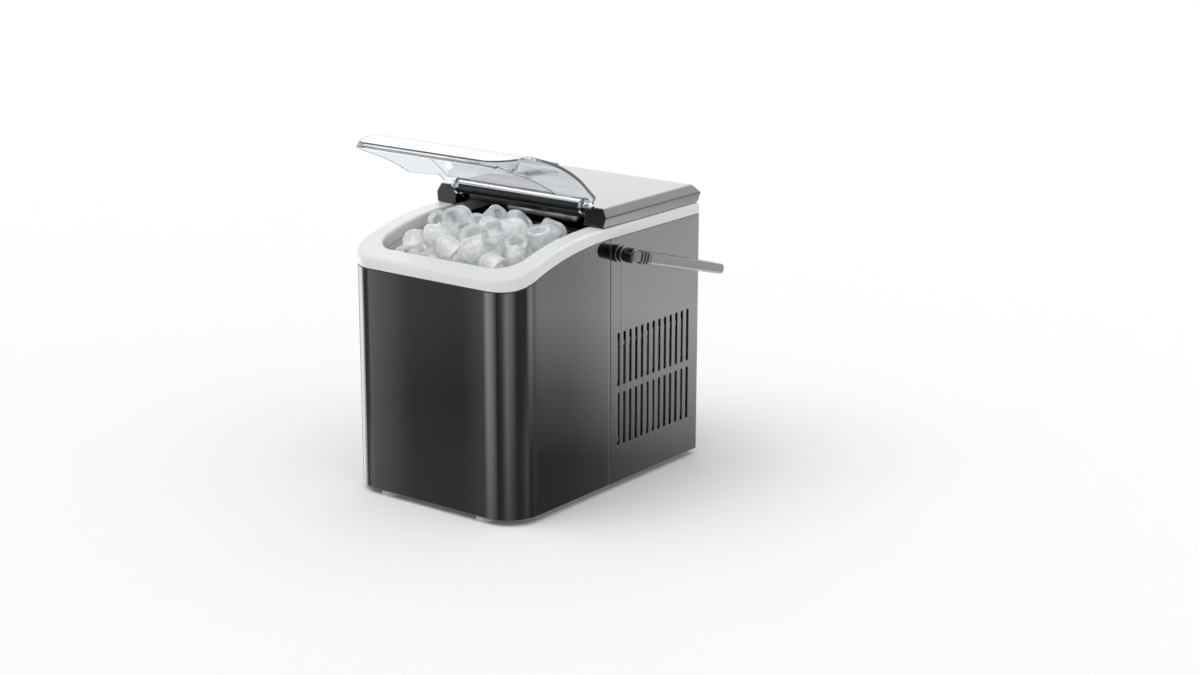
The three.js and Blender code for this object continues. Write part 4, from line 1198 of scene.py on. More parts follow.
@dataclass
class Bin:
    """The moulded bin: a deep tub in front and a shallow chamber under the freezing fingers."""

    lines: Lines
    floor: float = 62.0
    chamber_floor: float = 184.0
    radius: float = 1.2
    outlet: float = -74.6
    drain: float = -60.0
    hose_hole: float = 5.0
    basket_gap: float = 5.0

    def build(self) -> None:
        """Makes and dresses the liner and its two sensors."""
        lines = self.lines
        wall, half = lines.wall, lines.mouth_half
        front, rear = lines.mouth_front, Box.of("basket").high.y + self.basket_gap
        corner, steps = lines.mouth_corner, 20

        def tub(grow: float, low: float, high: float) -> Solid:
            """The deep part, with its walls moved outwards."""
            outline = rounded(
                -half - grow, front - grow, half + grow, rear + grow, corner + grow, 5 + grow, steps
            )
            return Solid.extrude(outline, low, high)

        def chamber(grow: float, low: float, high: float) -> Solid:
            """The shallow part, with its walls moved outwards."""
            end = lines.mouth_rear + grow
            outline = rounded(-half - grow, rear - 12, half + grow, end, 1, 5 + grow, 8)
            return Solid.extrude(outline, low, high)

        top = lines.body_top
        shape = tub(wall, self.floor - wall, top).join(chamber(wall, self.chamber_floor - wall, top))
        shape = shape.cut(tub(0, self.floor, top + 1), chamber(0, self.chamber_floor, top + 1))
        holes = []
        hose = Box.of("water_hose")
        for x, y, floor in (
            (Box.of("water_pump").middle.x, self.outlet, self.floor),
            (self.drain, self.outlet, self.floor),
            (hose.high.x - 4, hose.middle.y + 14.4, self.chamber_floor),
        ):
            holes.append(Solid.rod(self.hose_hole, floor - 6, floor + 2, (x, y, 0)))
        shape = shape.cut(*holes).keep(lines.under_sweep(top - lines.fit))
        place(shape, "bin_liner", "body", BIN_PLASTIC, edge=self.radius, rounds=3)
        for side in ("left", "right"):
            box = Box.of(f"ice_sensor_{side}")
            outline = rounded(box.low.y, box.low.z, box.high.y, box.high.z, 3, steps=6)
            body = Solid.extrude(outline, box.low.x, box.high.x, Axis.X)
            inner = box.low.x if side == "right" else box.high.x
            at = (0, box.middle.y, box.middle.z)
            eye = Solid.rod(3.2, inner - 1.2, inner + 1.2, at, Axis.X, 24)
            lens = Solid.rod(2.4, inner - 0.8, inner + 0.8, at, Axis.X, 24)
            body = body.cut(eye).join(lens)
            place(body, f"ice_sensor_{side}", "body", SATIN_BLACK, edge=0.2)


@dataclass
class Basket:
    """The lift-out ice basket with slotted ends, a rolled rim and a lifting tab on each side."""

    box: Box = field(default_factory=lambda: Box.of("basket"))
    wall: float = 2.0
    corner: float = 20.0
    foot_corner: float = 6.0
    tab_width: float = 58.0
    tab_height: float = 15.0
    slots: int = 6
    slot_width: float = 9.0
    draft: float = 1.6

    def build(self) -> None:
        """Makes and dresses the basket."""
        low, top = self.box.low.z, self.box.high.z - self.tab_height
        inside = [
            (self.draft + self.wall + 1.5, low + self.wall),
            (self.draft + self.wall + 0.2, low + self.wall + 3),
            (self.wall, top - 4),
            (self.wall, top),
        ]
        foot = [(self.draft + b, low + a) for a, b in self.foot()]
        outside = [*foot, (0.8, top - 6), (0.0, top - 5), (0.0, top)]
        section = [*outside, *reversed(inside)]
        rings = [[(x, y, z) for x, y in self.outline(inset)] for inset, z in section]
        shell = Solid.loft(rings)
        shape = shell.join(*self.tabs(top)).cut(Solid.group(self.cutters(low, top)))
        place(shape, "basket", "basket", WHITE_ABS, edge=0.5, rounds=2)

    def foot(self) -> list[Point]:
        """The rounded lower edge as (rise, inset) points."""
        r = self.foot_corner
        return [(r - r * math.cos(a), r - r * math.sin(a)) for a in np.linspace(0, math.pi / 2, 6)]

    def outline(self, inset: float) -> list[Point]:
        """The basket's outline from above, moved inwards."""
        low, high = self.box.low, self.box.high
        radius = max(self.corner - inset, 4)
        return rounded(low.x + inset, low.y + inset, high.x - inset, high.y - inset, radius, steps=10)

    def tabs(self, top: float) -> list[Solid]:
        """The two lifting tabs, each with a finger hole."""
        middle, made = self.box.middle.y, []
        front, rear = middle - self.tab_width / 2, middle + self.tab_width / 2
        for face in (self.box.low.x, self.box.high.x - self.wall):
            outline = [
                (front - 8, top - 10),
                (rear + 8, top - 10),
                (rear + 1, top + 2),
                *arc((rear - 5, top + self.tab_height - 5), 5, 0, 90, 6),
                *arc((front + 5, top + self.tab_height - 5), 5, 90, 180, 6),
                (front - 1, top + 2),
            ]
            tab = Solid.extrude(outline, face, face + self.wall, Axis.X)
            hole = rounded(front + 9, top + 2, rear - 9, top + self.tab_height - 4, 3, steps=5)
            made.append(tab.cut(Solid.extrude(hole, face - 1, face + self.wall + 1, Axis.X)))
        return made

    def cutters(self, low: float, top: float) -> list[Solid]:
        """The slots through both ends, and the drain slots in the floor."""
        box, made = self.box, []
        pitch = 2 * (box.high.x - self.corner) / self.slots
        for i in range(self.slots):
            x = (i - (self.slots - 1) / 2) * pitch
            outline = slot_outline(x, low + 12, top - 14, self.slot_width)
            made.append(Solid.extrude(outline, box.low.y - 1, box.low.y + 6, Axis.Y))
            made.append(Solid.extrude(outline, box.high.y - 6, box.high.y + 1, Axis.Y))
            floor = slot_outline(x, box.low.y + 22, box.high.y - 22, self.slot_width)
            made.append(Solid.extrude(floor, low - 1, low + self.wall + 1))
        return made


@dataclass
class Ice:
    """Hollow bullets of ice, settled into a heap by their own weight."""

    lines: Lines
    count: int = 170
    radius: float = 12.3
    length: float = 27.5
    side: float = 80.5
    steps: int = 300
    seed: int = 7
    spread: float = 165.0
    lean: tuple[float, float, float] = (-0.35, 0.45, -0.3)
    kinds: int = 6
    lip: float = 1.2
    core: Point = (5.9, 7.0)
    depth: Point = (19.0, 21.0)
    melt: float = 0.07
    rod: float = 5.6
    slack: float = 0.2
    passes: int = 5
    heights: tuple[float, ...] = (267.0, 278.0, 286.0, 290.0, 291.0, 276.0)

    def build(self) -> None:
        """Settles the bullets and makes them into one piece that rides on the basket."""
        rng = np.random.default_rng(self.seed)
        ends = self.settled(rng)
        shapes = [self.bullet(rng) for _ in range(self.kinds)]
        bullets = []
        for i in range(self.count):
            a, b = ends[2 * i], ends[2 * i + 1]
            way = Vector((b - a).tolist()).normalized()
            turn = way.to_track_quat("Z", "Y").to_matrix().to_4x4()
            spin = Matrix.Rotation(rng.uniform(0, 2 * math.pi), 4, "Z")
            size = Matrix.Scale(rng.uniform(0.95, 1.02), 4)
            at = Matrix.Translation(Vector(((a + b) / 2).tolist()))
            bullets.append(shapes[i % len(shapes)].moved(at @ turn @ spin @ size))
        mesh = Solid.group(bullets).mesh
        mesh.transform(Matrix.Scale(MM, 4))
        mesh.shade_smooth()
        piece = bpy.data.objects.new("ice_heap", mesh)
        bpy.context.scene.collection.objects.link(piece)
        own(piece, "basket", ICE, [])

    def bullet(self, rng: np.random.Generator) -> Solid:
        """One bullet: a round-nosed cylinder with a tapered hollow, its surface a little melted.

        Args:
            rng: Source of the melt's shape.

        Returns:
            The bullet, standing on its open end about the origin.
        """
        r, half, lip = self.radius, self.length / 2, self.lip
        nose = [(r * math.cos(a), half - r + r * math.sin(a)) for a in np.linspace(0, math.pi / 2, 9)]
        base = arc((r - lip, lip - half), lip, 0, -90, 4)
        core = rng.uniform(*self.core)
        depth = rng.uniform(*self.depth)
        mouth = arc((core + lip, lip - half), lip, 270, 180, 3)
        top = core - 1.4
        turn = np.linspace(0, math.pi / 2, 5)
        end = [(top * math.cos(a), depth - half - top + top * math.sin(a)) for a in turn]
        profile = [*reversed(nose), (r, 0.0), (r, lip - half + 2), *base, *mouth, *end]
        profile[0] = (0.0, profile[0][1])
        profile[-1] = (0.0, profile[-1][1])
        made = Solid.turned(profile, (0, 0, 0), Axis.Z, 28)
        waves = rng.uniform(-1, 1, (5, 3)) * 0.2
        phases = rng.uniform(0, 6.28, 5)
        for vertex in made.mesh.vertices:
            x, y, z = vertex.co
            melt = sum(math.sin(w[0] * x + w[1] * y + w[2] * z + p) for w, p in zip(waves, phases))
            out = Vector((x, y, 0.35 * z))
            if out.length > 1e-6:
                vertex.co += out.normalized() * self.melt * melt
        return made

    def settled(self, rng: np.random.Generator) -> np.ndarray:
        """Lets the bullets fall into the basket, each as two balls on a short rod.

        Args:
            rng: Source of the places that they fall from.

        Returns:
            The balls' centres, two to a bullet.
        """
        basket = Box.of("basket")
        rod, r = self.rod, self.radius + self.slack
        low = np.array((-self.side + r, basket.low.y + 3 + r, basket.low.z + 3 + r))
        high = np.array((self.side - r, basket.high.y - 3 - r, SKY))
        count = self.count
        middle = rng.uniform(low, high - (0, 0, 120), (count, 3))
        middle[:, 2] = low[2] + np.arange(count) * (self.spread / count)
        way = rng.normal(size=(count, 3)) + self.lean
        way /= np.linalg.norm(way, axis=1)[:, None]
        ends = np.empty((2 * count, 3))
        ends[0::2], ends[1::2] = middle - way * rod / 2, middle + way * rod / 2
        first, second = np.triu_indices(2 * count, 1)
        apart = first // 2 != second // 2
        first, second = first[apart], second[apart]
        for step in range(self.steps):
            fall = 0.6 if step < self.steps * 0.6 else 0.3 if step < self.steps * 0.85 else 0.08
            ends[:, 2] -= fall
            for _ in range(self.passes):
                gap = ends[second] - ends[first]
                length = np.linalg.norm(gap, axis=1)
                near = length < 2 * r
                push = gap[near] * ((2 * r - length[near]) / (2 * np.maximum(length[near], 1e-6)))[:, None]
                np.add.at(ends, first[near], -0.5 * push)
                np.add.at(ends, second[near], 0.5 * push)
                bar = ends[1::2] - ends[0::2]
                size = np.maximum(np.linalg.norm(bar, axis=1)[:, None], 0.5)
                fix = bar * (0.5 * (size - rod) / size)
                ends[0::2] += fix
                ends[1::2] -= fix
                ends = np.maximum(ends, low)
                ends = np.minimum(ends, high)
                if step > self.steps * 0.4:
                    ends[:, 2] = np.minimum(ends[:, 2], self.ceiling(ends[:, 1]) - r)
        return ends

    def ceiling(self, y: np.ndarray) -> np.ndarray:
        """The heap's greatest height, clear of the shut lid, and of the open one as the basket lifts."""
        front, rear = self.lines.mouth_front, Box.of("basket").high.y
        places = (front, front + 23, front + 47, front + 73, rear - 20, rear)
        return np.interp(y, places, self.heights)


# ---- Cover, controls and lid -----------------------------------------------------------------


@dataclass
class Cover:
    """The gloss black cover behind the lid, with an end block on each side of the hinge."""

    lines: Lines
    crease: float = 10.3
    side_chamfer: float = 4.5
    rear_chamfer: float = 10.0
    flare: float = 0.5
    foot_inset: float = 2.0
    block: float = 26.7
    rake: float = 3.4
    sill_front: float = 12.6
    sill_low: float = 4.4
    sill_high: float = 9.8
    face: float = 18.6
    pin_bore: float = 2.4
    stem_bore: float = 3.4

    def build(self) -> None:
        """Makes and dresses the cover."""
        lines, box = self.lines, self.lines.cover
        seat, top, front = box.low.z, box.high.z, box.low.y
        outside = self.section(0, seat, front - 1).keep(self.side(0, front, seat, self.rake))
        inner = front + self.face + lines.wall
        inside = self.section(lines.wall, seat - 1, inner).keep(self.side(lines.wall, inner, seat - 1, 0))
        half, wide = lines.half - self.block, lines.half + 5
        recess = [
            Solid.box((-half, front - 2, seat + self.sill_high), (half, front + self.face, top + 1)),
            Solid.box((-half, front - 2, seat - 1), (half, front + self.sill_front, top + 1)),
            Solid.box((-half, front, seat - 2), (half, inner + 1, seat + self.sill_low)),
        ]
        pin = Box.of("hinge_pin_left").middle
        recess.append(Solid.rod(self.pin_bore, 22 - wide, wide - 22, (0, pin.y, pin.z), Axis.X, 20))
        panel = Box.of("control_panel")
        pocket = rounded(
            panel.low.x - 0.4, panel.low.y - 0.4, panel.high.x + 0.4, panel.high.y + 0.4, 4.4, steps=6
        )
        recess.append(Solid.extrude(pocket, panel.low.z - 0.3, top + 1))
        for node in ("power_button", "select_button"):
            middle = Box.of(node).middle
            recess.append(Solid.rod(self.stem_bore, top - 6, top + 1, (middle.x, middle.y, 0)))
        place(outside.cut(inside, *recess), "top_cover", "body", GLOSS_BLACK, edge=1.1, rounds=4)

    def section(self, inset: float, low: float, start: float) -> Solid:
        """The outline across the machine, moved inwards and carried to the rear."""
        lines, box = self.lines, self.lines.cover
        crease, top = box.low.z + self.crease, box.high.z
        outline = []
        for side in (-1, 1):
            points = [
                (side * (lines.half - self.foot_inset - inset), low),
                (side * (lines.half + self.flare - inset), crease),
                (side * (lines.half - self.side_chamfer - inset), top - inset),
            ]
            outline += points[::side]
        return Solid.extrude(outline, start, box.high.y + 5, Axis.Y)

    def side(self, inset: float, start: float, low: float, rake: float) -> Solid:
        """The outline from the side, moved inwards, with its front face raked back at the top."""
        box, wide = self.lines.cover, self.lines.half + 5
        crease, top = box.low.z + self.crease, box.high.z
        points = [
            (start, low),
            (box.high.y - 2 - inset, low),
            (box.high.y - inset, crease),
            (box.high.y - self.rear_chamfer - inset, top - inset),
            (start + rake, top - inset),
        ]
        return Solid.extrude(points, -wide, wide, Axis.X)


@dataclass
class Controls:
    """The control panel with its two buttons and three lenses."""

    corner: float = 4.0

    def build(self) -> None:
        """Makes and dresses every piece."""
        panel = Box.of("control_panel")
        low, high = panel.low, panel.high
        shape = Solid.extrude(rounded(low.x, low.y, high.x, high.y, self.corner, steps=8), low.z, high.z)
        holes = []
        for node, grow in (
            ("power_button", 0.4),
            ("select_button", 0.4),
            ("indicator_lens_1", 0.3),
            ("indicator_lens_2", 0.3),
            ("indicator_lens_3", 0.3),
        ):
            box = Box.of(node)
            r = (box.high.x - box.low.x) / 2 + grow
            holes.append(Solid.rod(r, low.z - 1, high.z + 1, (box.middle.x, box.middle.y, 0), steps=40))
        place(shape.cut(*holes), "control_panel", "body", SATIN_BLACK, edge=0.25)
        for node, body in (("power_button", "power_key"), ("select_button", "select_key")):
            self.button(node, body, panel)
        for i in (1, 2, 3):
            box = Box.of(f"indicator_lens_{i}")
            r = (box.high.x - box.low.x) / 2
            dome = [(r * b, box.high.z - 0.5 + 0.5 * a) for a, b in arc((0, 0), 1, 0, 90, 5)]
            profile = [*dome, (r, box.low.z), (0, box.low.z)]
            lens = Solid.turned(profile, (box.middle.x, box.middle.y, 0), Axis.Z, 24)
            place(lens, f"indicator_lens_{i}", "body", LENS, edge=0.0)

    def button(self, node: str, body: str, panel: Box) -> None:
        """A round button with a dished top.

        Args:
            node: The CAD node of the button.
            body: The body that it rides on.
            panel: The panel's box.
        """
        box = Box.of(node)
        r, top = (box.high.x - box.low.x) / 2, box.high.z
        profile = [
            (0, top - 0.9),
            (r * 0.45, top - 0.75),
            (r * 0.75, top - 0.35),
            (r - 0.7, top - 0.05),
            (r - 0.3, top - 0.1),
            (r, top - 0.5),
            (r, panel.low.z + 1.3),
            (3.0, panel.low.z + 1.3),
            (3.0, box.low.z),
            (0, box.low.z),
        ]
        button = Solid.turned(profile, (box.middle.x, box.middle.y, 0), Axis.Z, 40)
        place(button, node, body, SATIN_BLACK, edge=0.12)


@dataclass
class Lid:
    """The clear lid: a curved top with a skirt that follows the rim, wrapped round the hinge beam."""

    lines: Lines
    inset: float = 13.0
    skin: float = 2.4
    corner: float = 26.0
    overhang: float = 10.5
    seat: float = 0.8
    open_angle: float = 41.0
    beam: float = 5.2
    barrel: float = 8.0
    pin: float = 2.0
    ear: float = 3.4
    neck_gap: float = 0.6
    core_drops: tuple[float, ...] = (12.0, 24.0, 36.0)

    def build(self) -> None:
        """Makes and dresses the lid, the beam and the two pins."""
        lines = self.lines
        hinge = lines.beam.middle
        half = lines.half - self.inset
        neck_half = lines.half - Cover.block - self.neck_gap
        front = lines.front_y - self.overhang - hinge.y
        wide_rear = lines.cover.low.y - 2 - hinge.y
        neck = Solid.box((-neck_half, wide_rear - 1, -60), (neck_half, self.barrel + 1, 60))
        main = Solid.extrude(rounded(-half, front, half, wide_rear, self.corner, 3, 14), -90, 60)
        outside = self.across(0, half + 1).keep(main.join(neck))
        skin = self.skin
        hollow = rounded(
            -half + skin, front + skin, half - skin, wide_rear - skin, self.corner - skin, 2, 14
        )
        inside = self.across(skin + 0.4, half)
        for drop in self.core_drops:
            inside = inside.join(self.across(skin + drop, half))
        inside = inside.keep(Solid.extrude(hollow, -100, 60))
        reach, bore = neck_half + 2, self.pin + lines.fit
        room = Solid.rod(self.beam + 0.8, -reach, reach, (0, 0, 0), Axis.X, 40)
        ears = []
        for side in (-1, 1):
            near, far = side * (neck_half - self.ear), side * neck_half
            ring = [(bore, near), (self.barrel, near), (self.barrel, far), (bore, far)]
            ears.append(Solid.turned(ring, (0, 0, 0), Axis.X, 40, ring=True))
        pins = Solid.rod(bore, -reach, reach, (0, 0, 0), Axis.X, 24)
        shape = outside.cut(inside, room).join(*ears).cut(pins)
        turn = Matrix.Rotation(math.radians(-self.open_angle), 4, "X")
        lid = shape.moved(Matrix.Translation((0, hinge.y, hinge.z)) @ turn)
        place(lid, "lid", "lid", CLEAR_SAN, edge=0.5, rounds=2)
        self.hinge(hinge)

    def profile(self, drop: float) -> list[Point]:
        """The shut lid's side profile about its hinge, lowered by drop."""
        lines = self.lines
        hinge = lines.beam.middle
        top = bezier([(-30, 8.6), (-66, 8.4), (-96, -4), (-126, -18.5)], 28)
        tip_y = lines.front_y - self.overhang - hinge.y
        tip_z = lines.rim_top - lines.sweep_drop - hinge.z
        seat = [
            (y - hinge.y, z - hinge.z)
            for y, z in lines.sweep_line(lines.rim_top + self.seat, lines.band_lead, 24)
        ]
        points = [
            *arc((0, 0), self.barrel, 0, 90, 10),
            *top,
            (tip_y + 1, tip_z + 1.5),
            (tip_y, tip_z - 5.5),
            (tip_y + 7.5, tip_z - 2),
            (tip_y + 9, tip_z + self.seat),
            *[p for p in seat if p[0] < -54],
            (-20, -0.2),
        ]
        return [(y, z - drop) for y, z in points]

    def across(self, drop: float, half: float) -> Solid:
        """The side profile carried across the machine."""
        return Solid.extrude(self.profile(drop), -half, half, Axis.X)

    def hinge(self, hinge: Vector) -> None:
        """The round beam that the lid wraps, and its two pins."""
        half, at = self.lines.beam.high.x, (0, hinge.y, hinge.z)
        beam = Solid.rod(self.beam, -half, half, at, Axis.X, 40, chamfer=0.5)
        bore = self.pin + self.lines.fit
        for side in (-1, 1):
            beam = beam.cut(Solid.rod(bore, side * (half - 8.4), side * (half + 2), at, Axis.X, 24))
        place(beam, "hinge_beam", "body", SATIN_BLACK, edge=0.2)
        for node in ("hinge_pin_left", "hinge_pin_right"):
            box = Box.of(node)
            pin = Solid.rod(self.pin, box.low.x, box.high.x, at, Axis.X, 24, chamfer=0.4)
            place(pin, node, "body", ZINC, edge=0.0)


# ---- Handle ----------------------------------------------------------------------------------


@dataclass
class Handle:
    """The carrying handle: two arms on ringed black knuckles, and a grip across behind the body."""

    lines: Lines
    droop: float = 15.5
    reach: float = 158.0
    knuckle: float = 26.0
    arm_width: float = 9.0
    arm_height: float = 12.5
    arm_end: float = 11.0
    arm_offset: float = 17.5
    flange: float = 9.0
    pivot: float = 4.0
    grip: float = 6.0
    socket_rings: tuple[Point, ...] = (
        (0, -0.8), (10, -0.8), (11.5, 0.5), (13.5, 0.5), (14.5, -0.9), (16, -0.9), (17, 0.4), (18.6, 0.4),
        (19.6, -1.0), (21, -1.0), (22, 0.3), (25.4, 0.3),
    )
    arm_rings: tuple[Point, ...] = (
        (0.0, -0.9), (0.004, -0.3), (0.012, 0.0), (0.35, 0.0), (0.7, 0.0), (0.975, 0.0), (0.99, -0.35),
        (0.998, -0.9), (1.0, -1.5),
    )
    grooves: int = 9
    groove_pitch: float = 12.0

    def build(self) -> None:
        """Makes and dresses every piece."""
        axis = Box.of("handle_pivot_left").middle
        turn = Matrix.Rotation(math.radians(-self.droop), 4, "X")
        stowed = Matrix.Translation((0, axis.y, axis.z)) @ turn
        for side, label in ((-1, "left"), (1, "right")):
            place(self.pivot_piece(side, axis), f"handle_pivot_{label}", "body", KNUCKLE_BLACK, edge=0.3)
            knuckle = self.knuckle_piece(side).moved(stowed)
            place(knuckle, f"handle_knuckle_{label}", "handle", KNUCKLE_BLACK, edge=0.3)
            arm = self.arm_piece(side).moved(stowed)
            place(arm, f"handle_arm_{label}", "handle", GREY_ABS, edge=0.0)
        half = self.lines.half + self.arm_offset - self.arm_width / 2 - self.lines.fit
        r = self.grip
        profile = [(0, -half), (r - 1, -half), (r, -half + 1)]
        for i in range(self.grooves):
            x = (i - (self.grooves - 1) / 2) * self.groove_pitch
            profile += [(r, x - 1.3), (r - 0.5, x - 0.7), (r - 0.5, x + 0.7), (r, x + 1.3)]
        profile += [(r, half - 1), (r - 1, half), (0, half)]
        bar = Solid.turned(profile, (0, self.reach, 0), Axis.X, 40).moved(stowed)
        place(bar, "handle_grip", "handle", GREY_ABS, edge=0.15)

    def pivot_piece(self, side: int, axis: Vector) -> Solid:
        """A boss that snaps through the body's side, with a flange and a short shaft."""
        half, wall, fit = self.lines.half, self.lines.wall, self.lines.fit
        centre = half + self.arm_offset
        profile = [
            (0, half - 7),
            (6.4, half - 7),
            (7, half - 6),
            (7, half - wall - fit),
            (self.pivot, half - wall - fit),
            (self.pivot, half + fit),
            (self.flange, half + fit),
            (self.flange, half + 2.0),
            (self.flange - 0.9, half + 3),
            (self.pivot, half + 3),
            (self.pivot, centre + 0.6),
            (self.pivot - 0.4, centre + 1),
            (0, centre + 1),
        ]
        profile = [(r, side * x) for r, x in profile]
        return Solid.turned(profile, (0, axis.y, axis.z), Axis.X, 40)

    def knuckle_piece(self, side: int) -> Solid:
        """The eye that turns on the pivot, with a ringed socket that the arm plugs into."""
        half, width = self.lines.half, self.arm_width
        centre = half + self.arm_offset
        near, far = half + 3.4, centre + width / 2 + 0.5
        eye = [
            (0, near),
            (7.6, near),
            (8.5, near + 0.8),
            (8.5, near + 4),
            (7.2, near + 5),
            (7.2, near + 6.4),
            (7.8, near + 7.2),
            (7.8, far - 1.8),
            (6.2, far),
            (0, far),
        ]
        eye_solid = Solid.turned([(r, side * x) for r, x in eye], (0, 0, 0), Axis.X, 40)
        rings = []
        for y, grow in (*self.socket_rings, (self.knuckle, -0.3)):
            w, h = width / 2 + grow, self.arm_height / 2 + grow
            outline = rounded(-w, -h, w, h, 3.4, steps=6)
            rings.append([(side * centre + a, y, b) for a, b in outline])
        socket = Solid.loft(rings)
        bore = self.pivot + self.lines.fit
        room = Solid.rod(bore, side * (near - 2), side * (centre + 1.4), (0, 0, 0), Axis.X)
        return eye_solid.join(socket).cut(room)

    def arm_piece(self, side: int) -> Solid:
        """One arm: a rounded bar that thins slightly to a softly domed end."""
        centre = side * (self.lines.half + self.arm_offset)
        start, end = self.knuckle + 0.4, self.reach + self.grip + 0.3
        rings = []
        for share, grow in self.arm_rings:
            w = self.arm_width / 2 + grow
            h = (self.arm_height * (1 - share) + self.arm_end * share) / 2 + grow
            outline = rounded(-w, -h, w, h, 3.0, steps=7)
            rings.append([(centre + a, start + (end - start) * share, b) for a, b in outline])
        return Solid.loft(rings)


# ---- Ice making ------------------------------------------------------------------------------


@dataclass
class IceMaking:
    """The freezing fingers on their plate, the tray that they dip in, and the toothed ice shovel."""

    lines: Lines
    finger: float = 5.5
    pitch: float = 22.0
    plate: float = 9.0
    inset: float = 10.0
    tray_wall: float = 2.0
    shaft: float = 2.5
    teeth: int = 9
    gap: float = 5.0
    tooth: float = 30.0
    strap_hole: float = 2.0
    stub: float = 1.8
    barrel: float = 4.0

    def build(self) -> None:
        """Makes and dresses every piece."""
        self.evaporator()
        self.tray()
        self.shovel()

    def evaporator(self) -> None:
        """The nickelled plate with two rows of fingers, and the strap that hangs it."""
        box = Box.of("evaporator")
        low, high = box.low, box.high
        seat = high.z - self.plate
        plate = Solid.extrude(rounded(low.x, low.y, high.x, high.y, 8, steps=6), seat, high.z)
        fingers = []
        r = self.finger
        for count, y in ((5, low.y + self.inset), (4, high.y - self.inset)):
            for i in range(count):
                x = (i - (count - 1) / 2) * self.pitch
                tip = [(r * math.cos(a), low.z + r * (1 - math.sin(a))) for a in np.linspace(1.57, 0, 7)]
                collar = [(r, seat - 3.5), (r + 1.2, seat - 2.8), (r + 1.2, seat + 1), (0, seat + 1)]
                fingers.append(Solid.turned([(0, low.z), *tip[1:], *collar], (x, y, 0), Axis.Z, 28))
        place(plate.join(Solid.group(fingers)), "evaporator", "body", NICKEL, edge=0.5)
        strap = Box.of("evaporator_bracket")
        a, b, y = strap.low, strap.high, strap.middle.y
        places = (a.x + 6, a.x + 40, b.x - 40, b.x - 6)
        holes = [Solid.rod(self.strap_hole, a.z - 1, b.z + 1, (x, y, 0)) for x in places]
        place(Solid.box(a, b).cut(*holes), "evaporator_bracket", "body", ZINC, edge=0.3)

    def tray(self) -> None:
        """The water tray, the shaft that tips it and the shaft's motor."""
        box = Box.of("water_tray")
        axis = Box.of("tray_shaft").middle
        low, high, wall = box.low, box.high, self.tray_wall
        rear = axis.y - 3
        outside = Solid.loft(
            [
                [(a, b, z) for a, b in rounded(low.x + i, low.y + i, high.x - i, rear - i, 5, steps=6)]
                for i, z in ((1.2, low.z), (0.2, low.z + 1.6), (0.0, low.z + 4), (0.0, high.z))
            ]
        )
        room = Solid.extrude(
            rounded(low.x + wall, low.y + wall, high.x - wall, rear - wall, 3.4, steps=6),
            low.z + wall,
            high.z + 1,
        )
        ears = []
        for near in (low.x + 0.4, high.x - 5):
            outline = [
                (rear - 3, axis.z - 5),
                (axis.y + 1, axis.z - 4.4),
                *arc((axis.y + 1, axis.z), 3.0, -80, 80, 8),
                (axis.y + 1, axis.z + 4.4),
                (rear - 3, axis.z + 5),
            ]
            ear = Solid.extrude(outline, near, near + 4.6, Axis.X)
            ears.append(ear.cut(Solid.box((low.x - 1, low.y, 0), (high.x + 1, rear - wall, SKY))))
        bore, reach, at = self.shaft + self.lines.fit, high.x + 2, (0, axis.y, axis.z)
        hole = Solid.rod(bore, -reach, reach, at, Axis.X)
        shape = outside.cut(room).join(*ears).cut(hole)
        place(shape, "water_tray", "tray", SATIN_BLACK, edge=0.3)
        shaft = Box.of("tray_shaft")
        bar = Solid.rod(self.shaft, shaft.low.x, shaft.high.x, at, Axis.X, 24, chamfer=0.5)
        place(bar, "tray_shaft", "tray", ZINC, edge=0.0)
        motor = Box.of("tray_motor")
        near, far, r = motor.low.x, motor.high.x, (motor.high.z - motor.low.z) / 2
        can = [
            (bore, near),
            (5.5, near),
            (5.5, near + 1.2),
            (r - 1, near + 1.2),
            (r, near + 2.2),
            (r, near + 9),
            (r - 0.8, near + 9.4),
            (r - 0.8, near + 10.6),
            (r, near + 11),
            (r, far - 1),
            (r - 1, far),
            (0, far),
            (0, near + 5),
            (bore, near + 5),
        ]
        shape = Solid.turned(can, (0, motor.middle.y, motor.middle.z), Axis.X, 40)
        place(shape, "tray_motor", "body", ZINC, edge=0.2)

    def shovel(self) -> None:
        """The comb that pushes the finished ice forwards, hung on two stubs."""
        box = Box.of("ice_shovel")
        half = Box.of("water_tray").high.x
        y, thick = box.middle.y, 1.2
        pivot, foot = box.high.z - 4, box.low.z
        plate = Solid.box((-half, y - thick, foot), (half, y + thick, pivot))
        pitch = 2 * half / self.teeth
        gaps = []
        for i in range(self.teeth - 1):
            x = -half + (i + 1) * pitch
            outline = [
                (x - self.gap / 2 - 0.8, foot - 1),
                (x + self.gap / 2 + 0.8, foot - 1),
                *arc((x, foot + self.tooth - self.gap / 2), self.gap / 2, 0, 180, 8),
            ]
            gaps.append(Solid.extrude(outline, y - 5, y + 5, Axis.Y))
        reach, at = box.high.x, (0, y, pivot)
        rib = Solid.box((-half, y - thick - 1.6, pivot - 11), (half, y + thick, pivot - 9))
        barrel = Solid.rod(self.barrel, -half, half, at, Axis.X, 28, chamfer=0.6)
        stub = Solid.rod(self.stub, -reach, reach, at, Axis.X, 20)
        shape = plate.cut(Solid.group(gaps)).join(rib, barrel, stub)
        place(shape, "ice_shovel", "shovel", SATIN_BLACK, edge=0.25)


# ---- Power inlet, drain and the parts inside ---------------------------------------------------


